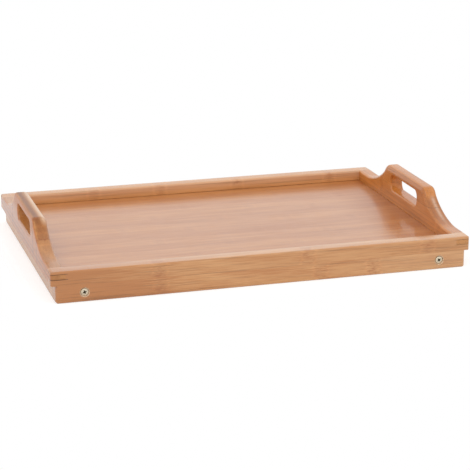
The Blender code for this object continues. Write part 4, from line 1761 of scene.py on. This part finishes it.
@dataclass
class BedTray:
    """The whole tray: its sub-assemblies, dressed and put on their bodies."""

    sizes: TraySizes = field(default_factory=TraySizes)
    groups: Groups = field(default_factory=dict)
    materials: dict[str, bpy.types.Material] = field(default_factory=dict)

    def build(self) -> None:
        """Builds the node groups, then every piece in order."""
        for kind in (StripPattern, FibrePattern, KnucklePattern, JointStain, HandlingWear):
            self.groups[kind.name] = kind().build()
        self.upper_frame()
        self.panel()
        self.lower_frame()
        self.leg_frames()
        self.fittings()

    def material(self, finish: Finish) -> bpy.types.Material:
        """A finish's material, built the first time that it is wanted.

        Args:
            finish: The finish.

        Returns:
            The material.
        """
        if finish.name not in self.materials:
            self.materials[finish.name] = finish.build(self.groups)
        return self.materials[finish.name]

    def add(self, node: str, mesh: Mesh, finish: Finish, body: str = "tray") -> None:
        """Puts a finished mesh into the scene in place of a CAD node.

        Args:
            node: The CAD node's name; the piece is called the same with _fine after it.
            mesh: The finished mesh, in place.
            finish: Its finish.
            body: The body it rides on.
        """
        mesh.name = node
        mesh.materials.clear()
        mesh.materials.append(self.material(finish))
        piece = placed(f"{node}_fine", mesh)
        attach(piece, body)
        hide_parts(node)
        log.info("%s: %d faces on %s", piece.name, len(mesh.polygons), body)

    def upper_frame(self) -> None:
        """The two upper rails and the two handle boards."""
        s = self.sizes
        rail, board = UpperRail(s), EndBoard(s)
        look = replace(RAIL_LOOK, across_start=0.012, jointed=True)
        front = replace(
            look,
            light=(0.775, 0.420, 0.178),
            dark=(0.500, 0.190, 0.050),
            marks=(-0.126, 0.050, 0.197),
            seed=0.35,
            deeper=(-0.08, -0.24, 0.55),
        )
        pale = (0.740, 0.450, 0.290)
        # A painted highlight down the rear rail's inner rounded edge.
        inner_edge_highlight = Stripe(s.rail_inner, 0.004, 0.50, pale, (-0.3, 0.3), (0.0255, 0.080), ("Y", "X"))
        rear = replace(
            look,
            light=(0.800, 0.405, 0.155),
            dark=(0.560, 0.235, 0.070),
            marks=(-0.132, -0.044, 0.061, 0.190),
            seed=0.55,
            knuckles=0.50,
            middles=0.60,
            ragged=1.0,
            spread=0.008,
            specular=0.25,
            coat=0.9,
            stripes=(inner_edge_highlight,),
        )
        for (name, side), look in zip(PAIR, (front, rear)):
            node = f"upper_rail_{name}"
            self.add(node, rail.mesh(side), look.laid(node, side, s.half_depth, RAIL_LAYERS))
        look = BambooFinish("board", "board_bamboo", Grain.BOARD, across_start=0.0290, jointed=True)
        grip = ((-0.072, 0.072), (0.056, 0.080))
        left = replace(
            look,
            light=(0.620, 0.280, 0.090),
            dark=(0.300, 0.098, 0.024),
            marks=(-0.087, -0.063, 0.080),
            seed=0.30,
            knuckles=0.90,
            middles=1.60,
            ragged=0.30,
            lines=0.15,
            streaks=0.35,
            specular=0.20,
            handled_coat=0.45,
            # The second stripe is painted shade along the grip's top, the third a painted highlight down its
            # inner rounded edge.
            stripes=(
                Stripe(0.2500, 0.0020, 0.75, (0.530, 0.165, 0.042), (-0.180, 0.180), (-0.010, 0.090)),
                Stripe(0.2452, 0.0052, 0.90, (0.230, 0.075, 0.018), *grip),
                Stripe(0.2362, 0.0062, 0.85, (0.860, 0.600, 0.400), *grip),
            ),
            coat_loss=(-0.060, -0.170, 0.22),
        )
        flank = ((-0.165, -0.070), (0.034, 0.068))
        right = replace(
            look,
            light=(0.740, 0.285, 0.065),
            dark=(0.430, 0.135, 0.026),
            marks=(-0.118, 0.071),
            seed=0.62,
            lines=0.45,
            finger=(0.580, 0.275, 0.100),
            specular=0.15,
            coat=0.80,
            # Painted shade darkens the front flank and both its rounded edges; the last stripe is a painted
            # highlight down its middle.
            stripes=(
                Stripe(0.2430, 0.0080, 0.80, (0.380, 0.135, 0.045), *flank),
                Stripe(0.2368, 0.0050, 0.80, (0.360, 0.120, 0.034), *flank),
                Stripe(0.2478, 0.0028, 0.60, (0.400, 0.150, 0.050), *flank),
                Stripe(0.2432, 0.0038, 0.90, (0.640, 0.390, 0.255), (-0.160, -0.070), (0.036, 0.066)),
            ),
        )
        for (name, side), look in zip(ENDS, (left, right)):
            node = f"end_board_{name}"
            self.add(node, board.mesh(side), look.laid(node, side, s.half_length, BOARD_LAYERS))

    def panel(self) -> None:
        """The let-in panel keeps its CAD shape and takes a lacquered finish."""
        finish = BambooFinish(
            "tray_panel_bamboo",
            "panel_bamboo",
            Grain.PANEL,
            light=(0.620, 0.270, 0.085),
            dark=(0.430, 0.140, 0.030),
            specular=0.35,
            roughness=0.42,
            strip_width=0.0205,
            layer=0.02,
            depth_start=0.015,
            spacing=0.21,
            phase=0.11,
            seed=0.21,
            # Darker, deeper orange towards the right board: painted shade and painted reflection of the
            # board.
            deeper=(0.150, 0.225, 0.30),
            coat_loss=(0.150, 0.215, 0.25),
            knuckles=0.25,
            lines=0.12,
            streaks=0.40,
        )
        panel = bpy.data.objects["tray_panel"]
        panel.data.materials.clear()
        panel.data.materials.append(self.material(finish))
        log.info("%s: keeps its CAD shape", panel.name)

    def lower_frame(self) -> None:
        """The two lower rails and the two end strips."""
        s = self.sizes
        lower = LowerFrame(s)
        rear = replace(
            RAIL_LOOK,
            across_start=-0.004,
            light=(0.850, 0.480, 0.205),
            dark=(0.520, 0.200, 0.056),
            marks=(-0.150, 0.012, 0.170),
            seed=0.05,
            bored=(s.pivot_x, s.pivot_height),
        )
        pale = (1.0, 0.700, 0.400)
        pale_end = Stripe(s.half_depth, 0.030, 0.15, pale, (0.08, 0.40), (-0.2, 0.2), ("Y", "X"), 0.1)
        front = replace(
            rear, marks=(-0.125, 0.065, 0.129), seed=0.75, deeper=(-0.08, -0.24, 0.90), stripes=(pale_end,)
        )
        for (name, side), look in zip(PAIR, (front, rear)):
            node = f"lower_rail_{name}"
            self.add(node, lower.rail(side), look.laid(node, side, s.half_depth, RAIL_LAYERS))
        look = BambooFinish("strip", "frame_bamboo", Grain.BOARD, strip_width=0.030, across_start=-0.004)
        for (name, side), seed in zip(ENDS, (0.33, 0.81)):
            node = f"end_strip_{name}"
            finish = replace(look, seed=seed).laid(node, side, s.lower_half_length, STRIP_LAYERS)
            self.add(node, lower.strip(side), finish)

    def leg_frames(self) -> None:
        """The four legs and the two foot bars."""
        frame = LegFrame(self.sizes)
        leg = BambooFinish(
            "leg", "leg_bamboo", Grain.RAIL, strip_width=0.030, across_start=-0.010, spacing=0.13
        )
        bar = BambooFinish(
            "bar", "leg_bamboo", Grain.BAR, strip_width=0.0073, layer=0.02, depth_start=-0.005, spacing=0.17
        )
        for name, end in ENDS:
            body = f"leg_frame_{name}"
            for place, side in PAIR:
                node = f"leg_{place}_{name}"
                look = replace(leg, phase=0.2 + 0.3 * side + 0.1 * end, seed=0.5 + 0.2 * side + 0.13 * end)
                self.add(node, frame.leg(end, side), look.laid(node, side, frame.outer, LEG_LAYERS), body)
            node = f"foot_bar_{name}"
            self.add(node, frame.bar(end), replace(bar, name=f"{node}_bamboo", seed=0.4 + 0.2 * end), body)

    def fittings(self) -> None:
        """Screw, washers and nut at each pivot."""
        s = self.sizes
        zinc = MetalFinish("zinc_plate", "nut_metal", (0.60, 0.61, 0.63), 0.32)
        fibre = FibreFinish("black_fibre", "fibre_washer")
        turns = {"front_left": 20.0, "front_right": 40.0, "rear_left": 65.0, "rear_right": 10.0}
        for where, turn in turns.items():
            place, name = where.split("_")
            stack = PivotStack(s, dict(ENDS)[name] * s.pivot_x, dict(PAIR)[place])
            recess = (s.pivot_x, s.pivot_height, stack.face)
            nickel = MetalFinish("nickel_plate", "screw_metal", recess=recess)
            self.add(f"pivot_screw_{where}", stack.screw(math.radians(turn)), nickel)
            self.add(f"spacer_washer_{where}", stack.ring(stack.spacer), fibre)
            self.add(f"nut_washer_{where}", stack.ring(stack.washer), zinc)
            self.add(f"lock_nut_{where}", stack.nut(), zinc)


def corners(box: Sequence[Sequence[float]]) -> list[list[float]]:
    """A box as plain lists of numbers."""
    return [[float(value) for value in corner] for corner in box]


def main() -> None:
    """Loads the frame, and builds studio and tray."""
    logging.basicConfig(level=logging.INFO, format="%(name)s: %(message)s")
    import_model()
    before = corners(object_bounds())
    Studio().build()
    BedTray().build()
    bpy.context.scene.view_settings.view_transform = "Standard"
    {"cad": before, "visual": corners(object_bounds())}


if __name__ == "__main__":
    main()
